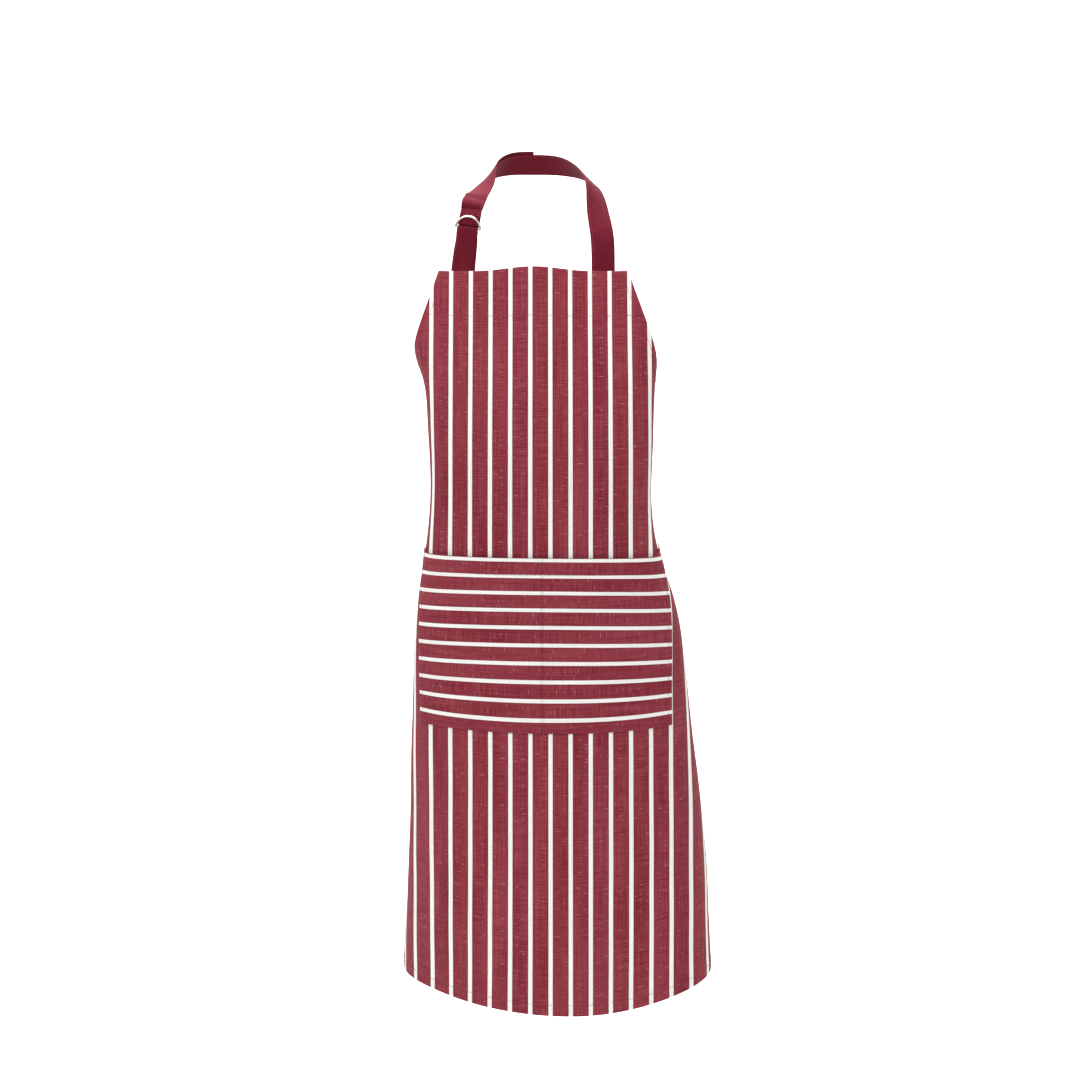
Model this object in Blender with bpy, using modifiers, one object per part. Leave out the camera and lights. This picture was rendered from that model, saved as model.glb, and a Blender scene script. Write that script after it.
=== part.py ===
"""Butcher apron, draped as it is worn: striped bib apron, kangaroo pocket, D-ring neck strap and ties.

Metres, +Z up. The wearer faces -Y, so +X is the wearer's left hand. The world origin is the middle of
the neck strap's inner face, at the back of the neck, which is what holds the apron up.
Cloth is laid out flat first: u runs across the panel from its centre line and drop runs down it from
the bib's top edge. The drape then says where each (u, drop) point of the cloth lies in space.
"""

import math

import bmesh
import bpy
import numpy as np
from mathutils import Matrix, Vector

# Flat pattern of the body panel
PANEL_LENGTH = 0.8795
PANEL_HALF_WIDTH = 0.368
BIB_HALF_WIDTH = 0.114
CORNER_DROP = 0.280
ARMHOLE_SLANT = 0.112
ARMHOLE_SWEEP = 0.142
PANEL_THICKNESS = 0.0006
BIB_HEM = 0.051
BOTTOM_HEM = 0.0135
POCKET_HEM = 0.020
EDGE_INSET = 0.009

# Pocket, in the panel's flat pattern
POCKET_LEFT = -0.150
POCKET_RIGHT = 0.172
POCKET_TOP = 0.3285
POCKET_BOTTOM = 0.537
POCKET_INSET = 0.006

# Straps, rings and threads
STRAP_WIDTH = 0.0284
STRAP_THICKNESS = 0.0014
STRAP_EASED_WIDTH = 0.0246
STRAP_SEWN = 0.022
STRAP_RIGHT_U = 0.0835
STRAP_LEFT_U = -0.0865
TAB_WIDTH = 0.0246
TAB_SKEW = 0.0045
TAB_THICKNESS = 0.0010
RING_RADIUS = 0.01495
WIRE_RADIUS = 0.00115
BAR_OFFSET = 0.0016
FRONT_RING_LEAN = math.radians(10.5)
TIE_WIDTH = 0.028
TIE_THICKNESS = 0.0012
TIE_LENGTH = 0.545
TIE_BEND = 0.016
TIE_STUB = 0.004
THREAD_WIDTH = 0.0009
THREAD_THICKNESS = 0.0004
BARTACK_WIDTH = 0.0024
BARTACK_LENGTH = 0.022
BARTACK_FROM_END = 0.008
LABEL_WIDTH = 0.030
LABEL_LENGTH = 0.045
LABEL_THICKNESS = 0.0004
GAP = 0.00035
THREAD_GAP = 0.0007
LOOSE_GAP = 0.0009
LABEL_INSET = 0.022
LABEL_DROP = 0.640

# The strap at the rings, in the rings' own frame: the loaded run, the turn and the doubled-back tail
RINGS_OVER_BIB = 0.050
LOAD_FRONT = -0.0038
TAIL_FRONT = 0.0008
BIGHT_UP = 0.0062
BIGHT_CELLS = 6
TAIL_LENGTH = 0.125
TAIL_OVER_LOAD = STRAP_THICKNESS + GAP
TAIL_SLIDE = 0.0035
TAIL_SLIDE_LENGTH = 0.05
EASED_REACH = 0.012
EASED_FADE = 0.025

# The drape, at a few heights: how far down, where the centre line stands, and how the cloth turns
BIB_TOP_Z = -0.118
DROPS = (0.0, 0.08, 0.13, 0.19, 0.32, 0.39, 0.54, 0.71, 0.89)
CENTRE_Y = (-0.118, -0.142, -0.157, -0.170, -0.180, -0.184, -0.188, -0.190, -0.189)
FRONT_RADIUS = (0.33, 0.33, 0.32, 0.31, 0.30, 0.29, 0.26, 0.25, 0.235)
TWIST_DEG = (0.0, 1.0, 1.5, 3.0, 4.4, 4.8, 5.3, 8.5, 13.0)
TURN_LEFT = (0.162, 0.156, 0.136, 0.133, 0.136, 0.150, 0.167, 0.186, 0.225)
TURN_RIGHT = (0.162, 0.156, 0.149, 0.145, 0.150, 0.176, 0.206, 0.231, 0.241)
TURN_SPREAD = (0.030, 0.030, 0.028, 0.026, 0.026, 0.030, 0.040, 0.045, 0.050)
SIDE_DEG = (95, 95, 96, 97, 98, 97, 95, 94, 93)
WRAP = (2.6, 2.8, 3.0, 3.3, 3.5, 3.7, 4.0, 4.0, 3.8)
SECTION_STEP = 0.001
SECTION_REACH = 0.40
TOP_ARCH = 0.007
TOP_ARCH_WIDTH = 0.045
TOP_ARCH_DEPTH = 0.045
HEM_RISE_LEFT = 0.017
HEM_RISE_RIGHT = 0.044
HEM_RISE_WIDTH = 0.180
HEM_LOW_U = 0.050

# Grid lines of the panel: runs of (start, end, cells), shared by all that lies on it
SIDE_COLUMNS = 11
POCKET_COLUMNS = 18
ROW_RUNS = (
    (0.0, CORNER_DROP, 12),
    (CORNER_DROP, POCKET_TOP, 3),
    (POCKET_TOP, POCKET_BOTTOM, 9),
    (POCKET_BOTTOM, PANEL_LENGTH, 12),
)

PANEL_RED = (0.27, 0.045, 0.065)
POCKET_RED = (0.29, 0.050, 0.070)
STRAP_RED = (0.15, 0.010, 0.026)
THREAD_RED = (0.20, 0.020, 0.035)
LABEL_WHITE = (0.85, 0.84, 0.80)
NICKEL = (0.80, 0.74, 0.68)


def clear_scene():
    for old in list(bpy.data.objects):
        bpy.data.objects.remove(old, do_unlink=True)


def material(name, colour, roughness, metallic=0.0):
    """A plain Principled material."""
    made = bpy.data.materials.new(name)
    made.use_nodes = True
    shader = made.node_tree.nodes["Principled BSDF"]
    shader.inputs["Base Color"].default_value = (*colour, 1.0)
    shader.inputs["Roughness"].default_value = roughness
    shader.inputs["Metallic"].default_value = metallic
    return made


def along(values, drop):
    """The value of one row of the drape at this drop, on a smooth curve through its heights."""
    slopes = np.gradient(np.array(values, float), DROPS)
    k = int(np.clip(np.searchsorted(DROPS, drop) - 1, 0, len(DROPS) - 2))
    span = DROPS[k + 1] - DROPS[k]
    t = (drop - DROPS[k]) / span
    start = values[k] * (1 + 2 * t) * (1 - t) ** 2 + slopes[k] * span * t * (1 - t) ** 2
    end = values[k + 1] * t * t * (3 - 2 * t) + slopes[k + 1] * span * t * t * (t - 1)
    return start + end


def half_section(side, drop):
    """One side's plan curve at a drop: distance from the centre line, x, y and heading."""
    s = np.arange(0.0, SECTION_REACH + SECTION_STEP, SECTION_STEP)
    turn = along(TURN_RIGHT if side > 0 else TURN_LEFT, drop)
    share = 0.5 * (1 + np.tanh((s - turn) / along(TURN_SPREAD, drop)))
    front = side * s / along(FRONT_RADIUS, drop) - math.radians(along(TWIST_DEG, drop))
    back = side * (math.radians(along(SIDE_DEG, drop)) + along(WRAP, drop) * (s - turn))
    heading = (1 - share) * front + share * back
    steps_x = np.cos(heading)
    steps_y = np.sin(heading)
    x = np.concatenate(([0.0], np.cumsum((steps_x[1:] + steps_x[:-1]) / 2))) * SECTION_STEP * side
    y = np.concatenate(([0.0], np.cumsum((steps_y[1:] + steps_y[:-1]) / 2))) * SECTION_STEP * side
    return s, x, y + along(CENTRE_Y, drop), heading


def surface(u, drop, offset=0.0):
    """Where the cloth's point (u, drop) lies, moved outwards by offset."""
    s, x, y, heading = half_section(1 if u > 0 else -1, drop)
    angle = float(np.interp(abs(u), s, heading))
    arch = TOP_ARCH * math.exp(-((u / TOP_ARCH_WIDTH) ** 2) - drop / TOP_ARCH_DEPTH)
    away = 1 - math.exp(-(((u - HEM_LOW_U) / HEM_RISE_WIDTH) ** 2))
    rise = (HEM_RISE_RIGHT if u > HEM_LOW_U else HEM_RISE_LEFT) * away * (drop / PANEL_LENGTH) ** 4
    return Vector(
        (
            float(np.interp(abs(u), s, x)) + offset * math.sin(angle),
            float(np.interp(abs(u), s, y)) - offset * math.cos(angle),
            BIB_TOP_Z - drop + arch + rise,
        )
    )


def facing_out(u, drop):
    """The cloth's outward facing at (u, drop), taken over a small square."""
    step = 0.004
    across = surface(u + step, drop) - surface(u - step, drop)
    down = surface(u, drop + step) - surface(u, max(drop - step, 0.0))
    return down.cross(across).normalized()


def side_edge(drop):
    """Half width of the flat panel at a drop: the armhole curve, then the straight side."""
    t = min(drop / CORNER_DROP, 1.0)
    return BIB_HALF_WIDTH + ARMHOLE_SLANT * t + ARMHOLE_SWEEP * t**3


def spaced(runs):
    """Grid lines of several runs of equal cells, one after another."""
    lines = [runs[0][0]]
    for start, end, cells in runs:
        lines += [start + (end - start) * (n + 1) / cells for n in range(cells)]
    return lines


COLUMNS = spaced(
    (
        (-PANEL_HALF_WIDTH, POCKET_LEFT, SIDE_COLUMNS),
        (POCKET_LEFT, POCKET_RIGHT, POCKET_COLUMNS),
        (POCKET_RIGHT, PANEL_HALF_WIDTH, SIDE_COLUMNS),
    )
)
ROWS = spaced(ROW_RUNS)


def panel_column(i, drop):
    """u of grid column i at a drop: the columns close up where the bib is narrower."""
    return COLUMNS[i] * side_edge(drop) / PANEL_HALF_WIDTH


def add_to_parts(obj, pivot, skin):
    """Give an object its material and hang it, in place, from its pivot."""
    bpy.data.collections["butcher_apron"].objects.link(obj)
    obj.data.materials.append(skin)
    obj.data.transform(Matrix.Translation(-pivot.location))
    obj.parent = pivot
    return obj


def shaped_grid(name, columns, rows, place):
    """A grid primitive whose point in column i and row j, counted upwards, goes to place(i, j)."""
    shape = bmesh.new()
    bmesh.ops.create_grid(shape, x_segments=columns, y_segments=rows, size=1.0)
    for point in shape.verts:
        i = round((point.co.x + 1) / 2 * columns)
        j = round((point.co.y + 1) / 2 * rows)
        point.co = place(i, j)
    mesh = bpy.data.meshes.new(name)
    shape.to_mesh(mesh)
    shape.free()
    return bpy.data.objects.new(name, mesh)


def sheet(name, columns, rows, place, thickness, pivot, skin):
    """A cloth sheet: a shaped grid with a Solidify modifier, half its thickness on each side."""
    obj = add_to_parts(shaped_grid(name, columns, rows, place), pivot, skin)
    solidify = obj.modifiers.new("thickness", "SOLIDIFY")
    solidify.thickness = thickness
    solidify.offset = 0.0
    solidify.use_even_offset = True
    return obj


def on_panel(layers, thickness, gap=GAP):
    """Offset of a sheet that lies on the panel's outer face, over this thickness of other layers."""
    return PANEL_THICKNESS / 2 + layers + gap + thickness / 2


def make_panel(pivot, skin):
    """The one-piece body panel: bib, armholes and skirt."""
    last = len(ROWS) - 1

    def place(i, j):
        drop = ROWS[last - j]
        return surface(panel_column(i, drop), drop)

    sheet("body_panel", len(COLUMNS) - 1, last, place, PANEL_THICKNESS, pivot, skin)


def pocket_lines():
    """The panel's columns and rows that the pocket lies between."""
    columns = [u for u in COLUMNS if POCKET_LEFT - 1e-6 <= u <= POCKET_RIGHT + 1e-6]
    rows = [drop for drop in ROWS if POCKET_TOP - 1e-6 <= drop <= POCKET_BOTTOM + 1e-6]
    return columns, rows


def make_pocket(pivot, skin):
    """The kangaroo pocket, sewn on at its sides and bottom and open at its top."""
    columns, rows = pocket_lines()
    offset = on_panel(0.0, PANEL_THICKNESS)

    def place(i, j):
        return surface(columns[i], rows[len(rows) - 1 - j], offset)

    sheet("pocket_panel", len(columns) - 1, len(rows) - 1, place, PANEL_THICKNESS, pivot, skin)


def thread_across(name, drop, columns, offset, pivot, skin):
    """A line of stitches across the cloth, through these grid columns."""

    def place(i, j):
        return surface(columns[i], drop + (0.5 - j) * THREAD_WIDTH, offset)

    sheet(name, len(columns) - 1, 1, place, THREAD_THICKNESS, pivot, skin)


def thread_down(name, rows, u_at, offset, pivot, skin):
    """A line of stitches down the cloth, at u_at(drop) in these grid rows."""

    def place(i, j):
        drop = rows[len(rows) - 1 - j]
        return surface(u_at(drop) + (i - 0.5) * THREAD_WIDTH, drop, offset)

    sheet(name, 1, len(rows) - 1, place, THREAD_THICKNESS, pivot, skin)


def make_hem_threads(pivot, skin):
    """Stitch lines that hold the turned hems: top, armholes, sides and bottom."""
    offset = on_panel(0.0, THREAD_THICKNESS, THREAD_GAP)
    inner = range(1, len(COLUMNS) - 1)
    top = [panel_column(i, BIB_HEM) for i in inner[1:-1]]
    thread_across("bib_hem_thread", BIB_HEM, top, offset, pivot, skin)
    low = PANEL_LENGTH - BOTTOM_HEM
    bottom = [COLUMNS[i] for i in inner]
    thread_across("bottom_hem_thread", low, bottom, offset, pivot, skin)
    arm_rows = [drop for drop in ROWS if drop < CORNER_DROP - 1e-6][1:]
    side_rows = [drop for drop in ROWS if CORNER_DROP + 1e-6 < drop < low]
    for side, word in ((-1, "left"), (1, "right")):

        def hem_line(drop, side=side):
            return side * (side_edge(drop) - EDGE_INSET)

        thread_down(f"armhole_thread_{word}", arm_rows, hem_line, offset, pivot, skin)
        thread_down(f"side_hem_thread_{word}", side_rows, hem_line, offset, pivot, skin)


def make_pocket_threads(pivot, skin):
    """The pocket's mouth hem stitches, and the seam round its sides and bottom."""
    columns, rows = pocket_lines()
    offset = on_panel(PANEL_THICKNESS + GAP, THREAD_THICKNESS, THREAD_GAP)
    mouth = POCKET_TOP + POCKET_HEM
    inner = columns[1:-1]
    thread_across("pocket_mouth_thread", mouth, inner, offset, pivot, skin)
    seam_rows = [drop for drop in rows if mouth + 0.003 < drop < POCKET_BOTTOM - POCKET_INSET]

    def seam(inset):
        left = [(POCKET_LEFT + inset, drop) for drop in seam_rows]
        right = [(POCKET_RIGHT - inset, drop) for drop in reversed(seam_rows)]
        low = POCKET_BOTTOM - inset
        ends = (POCKET_LEFT + inset, *inner, POCKET_RIGHT - inset)
        return left + [(u, low) for u in ends] + right

    outer = seam(POCKET_INSET)
    inner_line = seam(POCKET_INSET + THREAD_WIDTH)

    def place(i, j):
        u, drop = (outer, inner_line)[i][len(outer) - 1 - j]
        return surface(u, drop, offset)

    sheet("pocket_seam_thread", 1, len(outer) - 1, place, THREAD_THICKNESS, pivot, skin)


def bartack(name, u, drop, wide, tall, offset, pivot, skin):
    """A dense little bar of stitches, wide across and tall down the cloth."""

    def place(i, j):
        return surface(u + (i / 2 - 0.5) * wide, drop + (0.5 - j / 2) * tall, offset)

    sheet(name, 2, 2, place, THREAD_THICKNESS, pivot, skin)


def make_bartacks(panel_pivot, pocket_pivot, skin):
    """Bars of stitches at the strap ends, the tie ends and the pocket's mouth."""
    on_body = on_panel(0.0, THREAD_THICKNESS, THREAD_GAP)
    on_pocket = on_panel(PANEL_THICKNESS + GAP, THREAD_THICKNESS, THREAD_GAP)
    strap_drop = STRAP_SEWN - BARTACK_FROM_END
    tie_drop = CORNER_DROP + TIE_WIDTH / 2
    tie_u = PANEL_HALF_WIDTH - EDGE_INSET / 2
    mouth_drop = POCKET_TOP + BARTACK_LENGTH / 4
    for word, strap_u, tie_side, mouth_u in (
        ("left", STRAP_LEFT_U, -tie_u, POCKET_LEFT + POCKET_INSET),
        ("right", STRAP_RIGHT_U, tie_u, POCKET_RIGHT - POCKET_INSET),
    ):
        long, short = BARTACK_LENGTH, BARTACK_WIDTH
        bartack(f"strap_bartack_{word}", strap_u, strap_drop, long, short, on_body, panel_pivot, skin)
        bartack(f"tie_bartack_{word}", tie_side, tie_drop, short, long, on_body, panel_pivot, skin)
        mouth_long = BARTACK_LENGTH / 3
        bartack(
            f"pocket_bartack_{word}", mouth_u, mouth_drop, short, mouth_long, on_pocket, pocket_pivot, skin
        )


def make_label(pivot, skin):
    """The blank care label, sewn inside near the side hem."""
    offset = -(PANEL_THICKNESS / 2 + LOOSE_GAP + LABEL_THICKNESS / 2)

    def place(i, j):
        u = -PANEL_HALF_WIDTH + LABEL_INSET + LABEL_WIDTH * i / 2
        return surface(u, LABEL_DROP + LABEL_LENGTH * (1 - j / 3), offset)

    sheet("care_label", 2, 3, place, LABEL_THICKNESS, pivot, skin)


def smooth(points, cells):
    """A smooth path of this many cells between each two of the points (Catmull-Rom)."""
    ends = [points[0] * 2 - points[1], *points, points[-1] * 2 - points[-2]]
    path = []
    for a, b, c, d in zip(ends, ends[1:], ends[2:], ends[3:]):
        for n in range(cells):
            t = n / cells
            path.append(
                0.5
                * (
                    2 * b
                    + (c - a) * t
                    + (2 * a - 5 * b + 4 * c - d) * t * t
                    + (3 * b - a - 3 * c + d) * t**3
                )
            )
    return path + [points[-1]]


def ribbon(name, path, facings, widths, thickness, pivot, skin):
    """Webbing along a path, its face turned to each facing, as a sheet two cells wide."""
    last = len(path) - 1

    def place(i, j):
        before, after = path[max(j - 1, 0)], path[min(j + 1, last)]
        ahead = (after - before).normalized()
        across = ahead.cross(facings[j]).normalized()
        return path[j] + across * (i / 2 - 0.5) * widths[j]

    sheet(name, 2, last, place, thickness, pivot, skin)


def ring_frame():
    """The D-rings' place: their bars lie along its X, the loaded strap runs up its Y, Z is the front."""
    foot = surface(STRAP_LEFT_U, 0.0)
    up = Vector((0.170, 0.200, 0.966)).normalized()
    front = facing_out(STRAP_LEFT_U, 0.0)
    front.x *= 0.6
    front = (front - up * front.dot(up)).normalized()
    bars = foot + up * RINGS_OVER_BIB
    across = up.cross(front)
    turned = Matrix((across, up, front)).transposed().to_4x4()
    return Matrix.Translation(bars) @ turned


def ring_point(across, up, front):
    """A point given in the rings' own frame."""
    return ring_frame() @ Vector((across, up, front))


def neck_path():
    """The strap from its right sewn end, round the neck, down to the rings: points and facings."""
    behind = -(PANEL_THICKNESS / 2 + LOOSE_GAP + STRAP_THICKNESS / 2)
    stations = (
        (surface(STRAP_RIGHT_U, STRAP_SEWN, behind), facing_out(STRAP_RIGHT_U, STRAP_SEWN)),
        (surface(STRAP_RIGHT_U, 0.002, behind), facing_out(STRAP_RIGHT_U, 0.002)),
        (Vector((0.0812, -0.0975, -0.0821)), Vector((0.20, -0.93, 0.30))),
        (Vector((0.0766, -0.0830, -0.0537)), Vector((0.32, -0.80, 0.50))),
        (Vector((0.0700, -0.0560, -0.0200)), Vector((0.72, -0.30, 0.62))),
        (Vector((0.0530, -0.0260, -0.0065)), Vector((0.74, 0.25, 0.62))),
        (Vector((0.0300, -0.0050, -0.0010)), Vector((0.45, 0.72, 0.52))),
        (Vector((0.0000, 0.0007, 0.0000)), Vector((0.0, 0.88, 0.48))),
        (Vector((-0.0290, -0.0050, -0.0010)), Vector((-0.45, 0.72, 0.52))),
        (Vector((-0.0480, -0.0260, -0.0075)), Vector((-0.74, 0.25, 0.62))),
        (Vector((-0.0600, -0.0540, -0.0240)), Vector((-0.66, -0.40, 0.64))),
        (ring_point(0.0, 0.034, LOAD_FRONT), Vector((-0.12, -0.92, 0.36))),
        (ring_point(0.0, 0.018, LOAD_FRONT), ring_frame().to_3x3().col[2]),
        (ring_point(0.0, BIGHT_UP, LOAD_FRONT), ring_frame().to_3x3().col[2]),
    )
    cells = 3
    points = smooth([point for point, facing in stations], cells)
    facings = smooth([facing.normalized() for point, facing in stations], cells)
    return points, [facing.normalized() for facing in facings]


def bight():
    """The strap's turn round the back ring, below its arc: points and facings."""
    middle = (LOAD_FRONT + TAIL_FRONT) / 2
    radius = (TAIL_FRONT - LOAD_FRONT) / 2
    turned = ring_frame().to_3x3()
    points, facings = [], []
    for n in range(1, BIGHT_CELLS):
        angle = math.pi * n / BIGHT_CELLS
        out = (0.0, -math.sin(angle), -math.cos(angle))
        points.append(ring_point(0.0, BIGHT_UP + radius * out[1], middle + radius * out[2]))
        facings.append(turned @ -Vector(out))
    return points, facings


def tail(points, facings):
    """The strap's free end, back up between the rings and over the loaded strap."""
    front = ring_frame().to_3x3().col[2]
    path = [ring_point(0.0, up, TAIL_FRONT) for up in (BIGHT_UP, 0.012, 0.0175)]
    turned = [-front] * len(path)
    length = 0.0
    for here, lower, facing in zip(points[-8::-1], points[-7::-1], facings[-8::-1]):
        length += (here - lower).length
        ahead = (here - lower).normalized()
        across = ahead.cross(facing).normalized()
        slide = TAIL_SLIDE * min(length / TAIL_SLIDE_LENGTH, 1.0)
        path.append(here + facing * TAIL_OVER_LOAD + across * slide)
        turned.append(-facing)
        if length > TAIL_LENGTH:
            break
    return path, turned


def make_neck_strap(pivot, skin):
    """The long neck strap: sewn on at the right, round the neck, and doubled back at the rings."""
    down, down_facings = neck_path()
    turn, turn_facings = bight()
    back, back_facings = tail(down, down_facings)
    path = down + turn + back
    facings = down_facings + turn_facings + back_facings
    rings = ring_point(0.0, RING_RADIUS / 2, 0.0)
    widths = []
    for point in path:
        far = min(max(((point - rings).length - EASED_REACH) / EASED_FADE, 0.0), 1.0)
        widths.append(STRAP_EASED_WIDTH + (STRAP_WIDTH - STRAP_EASED_WIDTH) * far)
    ribbon("neck_strap", path, facings, widths, STRAP_THICKNESS, pivot, skin)


def make_ring_tab(pivot, skin):
    """The short strap that holds both rings: folded over their bars, its two ends sewn to the bib."""
    pitch = TAB_THICKNESS + GAP
    near = PANEL_THICKNESS / 2 + LOOSE_GAP + TAB_THICKNESS / 2
    reach = BAR_OFFSET + WIRE_RADIUS + GAP + TAB_THICKNESS / 2
    top = WIRE_RADIUS + GAP + TAB_THICKNESS / 2
    turned = ring_frame().to_3x3()

    def sewn(drop, layer):
        return surface(STRAP_LEFT_U + layer * TAB_SKEW, drop, -(near + layer * pitch))

    path = [sewn(STRAP_SEWN, 1), sewn(0.012, 1), sewn(0.002, 1)]
    path += [ring_point(TAB_SKEW * 0.7, -0.030, -pitch), ring_point(TAB_SKEW * 0.35, -0.014, -pitch)]
    path += [ring_point(0.0, -0.006, -reach * 0.75), ring_point(0.0, 0.0, -reach)]
    path += [ring_point(0.0, top * 0.72, -reach * 0.80), ring_point(0.0, top, -reach * 0.42)]
    path += [ring_point(0.0, top, reach * 0.42), ring_point(0.0, top * 0.72, reach * 0.80)]
    path += [ring_point(0.0, 0.0, reach), ring_point(0.0, -0.006, reach * 0.75)]
    path += [ring_point(0.0, -0.014, 0.0), ring_point(0.0, -0.030, 0.0)]
    path += [sewn(0.002, 0), sewn(0.012, 0), sewn(STRAP_SEWN, 0)]
    sewn_side = surface(STRAP_LEFT_U + 0.01, 0.0) - surface(STRAP_LEFT_U - 0.01, 0.0)
    facings = []
    for n, point in enumerate(path):
        ahead = (path[min(n + 1, len(path) - 1)] - path[max(n - 1, 0)]).normalized()
        side = sewn_side if n < 3 or n > len(path) - 4 else turned.col[0]
        facings.append(side.cross(ahead).normalized())
    widths = [TAB_WIDTH] * len(path)
    ribbon("ring_tab", path, facings, widths, TAB_THICKNESS, pivot, skin)


def make_ring(name, bar_front, lean, pivot, skin):
    """A D-ring of round wire: a straight bar and a half-circle arc."""
    outline = []
    corner = math.radians(9)
    for n in range(17):
        angle = corner + (math.pi - 2 * corner) * n / 16
        outline.append((RING_RADIUS * math.cos(angle), RING_RADIUS * math.sin(angle)))
    outline += [(-RING_RADIUS * 0.93, 0.0004), (-RING_RADIUS * 0.86, 0.0)]
    outline += [(RING_RADIUS * x / 3, 0.0) for x in (-1, 0, 1)]
    outline += [(RING_RADIUS * 0.86, 0.0), (RING_RADIUS * 0.93, 0.0004)]
    wire = bpy.data.curves.new(name, "CURVE")
    wire.dimensions = "3D"
    wire.bevel_depth = WIRE_RADIUS
    wire.bevel_resolution = 2
    loop = wire.splines.new("POLY")
    loop.points.add(len(outline) - 1)
    loop.use_cyclic_u = True
    for point, (across, up) in zip(loop.points, outline):
        place = ring_point(across, up * math.cos(lean), bar_front + up * math.sin(lean))
        point.co = (*place, 1.0)
    curve = bpy.data.objects.new(name + "_wire", wire)
    bpy.data.collections["butcher_apron"].objects.link(curve)
    view = bpy.context.evaluated_depsgraph_get()
    mesh = bpy.data.meshes.new_from_object(curve.evaluated_get(view))
    bpy.data.objects.remove(curve, do_unlink=True)
    add_to_parts(bpy.data.objects.new(name, mesh), pivot, skin)


def tie_start(side):
    """Where a tie leaves the panel's side corner: its point, its way out and its facing."""
    drop = CORNER_DROP + TIE_WIDTH / 2 + 0.001
    u = side * PANEL_HALF_WIDTH
    edge = (surface(u, drop - TIE_WIDTH / 2) - surface(u, drop + TIE_WIDTH / 2)).normalized()
    facing = facing_out(u, drop)
    out = edge.cross(facing).normalized() * side
    return surface(u, drop) + out * LOOSE_GAP, out, facing


def make_tie(side, word, pivot, skin):
    """A waist tie: a short stub out of the corner hem, a quarter turn, and the hanging length."""
    start, out, facing = tie_start(side)
    down = Vector((0.0, 0.0, -1.0))
    path = [start, start + out * TIE_STUB]
    middle = path[-1] + down * TIE_BEND
    for n in range(1, 7):
        angle = math.pi / 2 * n / 6
        path.append(middle + out * TIE_BEND * math.sin(angle) - down * TIE_BEND * math.cos(angle))
    straight = TIE_LENGTH - TIE_STUB - TIE_BEND * math.pi / 2
    path += [path[7] + down * straight * n / 8 for n in range(1, 9)]
    facings = [facing * side] * len(path)
    ribbon(f"waist_tie_{word}", path, facings, [TIE_WIDTH] * len(path), TIE_THICKNESS, pivot, skin)


def pivot_at(name, place):
    """An empty on a joint's axis, which carries the parts that turn about it."""
    pivot = bpy.data.objects.new(name, None)
    pivot.empty_display_size = 0.02
    pivot.location = place
    bpy.data.collections["butcher_apron"].objects.link(pivot)
    return pivot


def main():
    clear_scene()
    parts = bpy.data.collections.new("butcher_apron")
    bpy.context.scene.collection.children.link(parts)
    cloth = material("striped_chambray", PANEL_RED, 0.85)
    pocket_cloth = material("pocket_chambray", POCKET_RED, 0.85)
    tape = material("strap_tape", STRAP_RED, 0.75)
    thread = material("sewing_thread", THREAD_RED, 0.6)
    satin = material("label_satin", LABEL_WHITE, 0.5)
    nickel = material("nickel_wire", NICKEL, 0.25, 1.0)

    neck = pivot_at("neck_hold", Vector((0.0, 0.0, 0.0)))
    foremost = surface(STRAP_RIGHT_U - STRAP_WIDTH / 2, 0.0).y
    fold = pivot_at("bib_fold_axis", Vector((0.0, foremost, BIB_TOP_Z)))
    mouth = pivot_at("pocket_axis", surface(0.0, POCKET_BOTTOM, on_panel(0.0, PANEL_THICKNESS)))
    make_panel(fold, cloth)
    make_pocket(mouth, pocket_cloth)
    make_hem_threads(fold, thread)
    make_pocket_threads(mouth, thread)
    make_bartacks(fold, mouth, thread)
    make_label(fold, satin)
    make_neck_strap(neck, tape)
    make_ring_tab(neck, tape)
    front_bar = pivot_at("front_ring_axis", ring_point(0.0, 0.0, BAR_OFFSET))
    back_bar = pivot_at("back_ring_axis", ring_point(0.0, 0.0, -BAR_OFFSET))
    make_ring("d_ring_front", BAR_OFFSET, FRONT_RING_LEAN, front_bar, nickel)
    make_ring("d_ring_back", -BAR_OFFSET, 0.0, back_bar, nickel)
    for side, word in ((-1, "left"), (1, "right")):
        corner = pivot_at(f"tie_axis_{word}", tie_start(side)[0])
        make_tie(side, word, corner, tape)


main()
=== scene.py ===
"""Looks of the butcher apron: cloth, tape, thread, rings and label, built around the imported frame.

Metres, +Z up, in the frame of the CAD model. Cloth is laid out flat first: u runs across the panel from
its centre line and drop runs down it from the bib's top edge. The drape says where each point of it lies.
"""

import math

import bpy
import numpy as np
from mathutils import Matrix, Vector


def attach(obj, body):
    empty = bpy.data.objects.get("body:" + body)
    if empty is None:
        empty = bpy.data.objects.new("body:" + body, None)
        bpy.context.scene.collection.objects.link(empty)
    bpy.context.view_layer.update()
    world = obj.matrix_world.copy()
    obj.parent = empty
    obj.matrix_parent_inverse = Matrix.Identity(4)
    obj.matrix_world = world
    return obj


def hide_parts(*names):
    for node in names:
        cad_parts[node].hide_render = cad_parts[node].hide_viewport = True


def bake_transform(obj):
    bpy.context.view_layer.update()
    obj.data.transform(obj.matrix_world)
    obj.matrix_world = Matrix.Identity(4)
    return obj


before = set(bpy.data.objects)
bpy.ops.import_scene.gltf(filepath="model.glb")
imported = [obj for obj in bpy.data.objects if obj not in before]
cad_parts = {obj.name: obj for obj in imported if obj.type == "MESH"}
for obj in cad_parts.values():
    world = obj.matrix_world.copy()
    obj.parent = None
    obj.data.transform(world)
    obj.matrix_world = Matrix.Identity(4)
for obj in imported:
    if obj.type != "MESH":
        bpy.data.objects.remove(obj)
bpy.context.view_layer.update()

# Flat pattern of the body panel and the pocket
PANEL_LENGTH = 0.8795
PANEL_HALF_WIDTH = 0.368
BIB_HALF_WIDTH = 0.114
CORNER_DROP = 0.280
ARMHOLE_SLANT = 0.112
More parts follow.
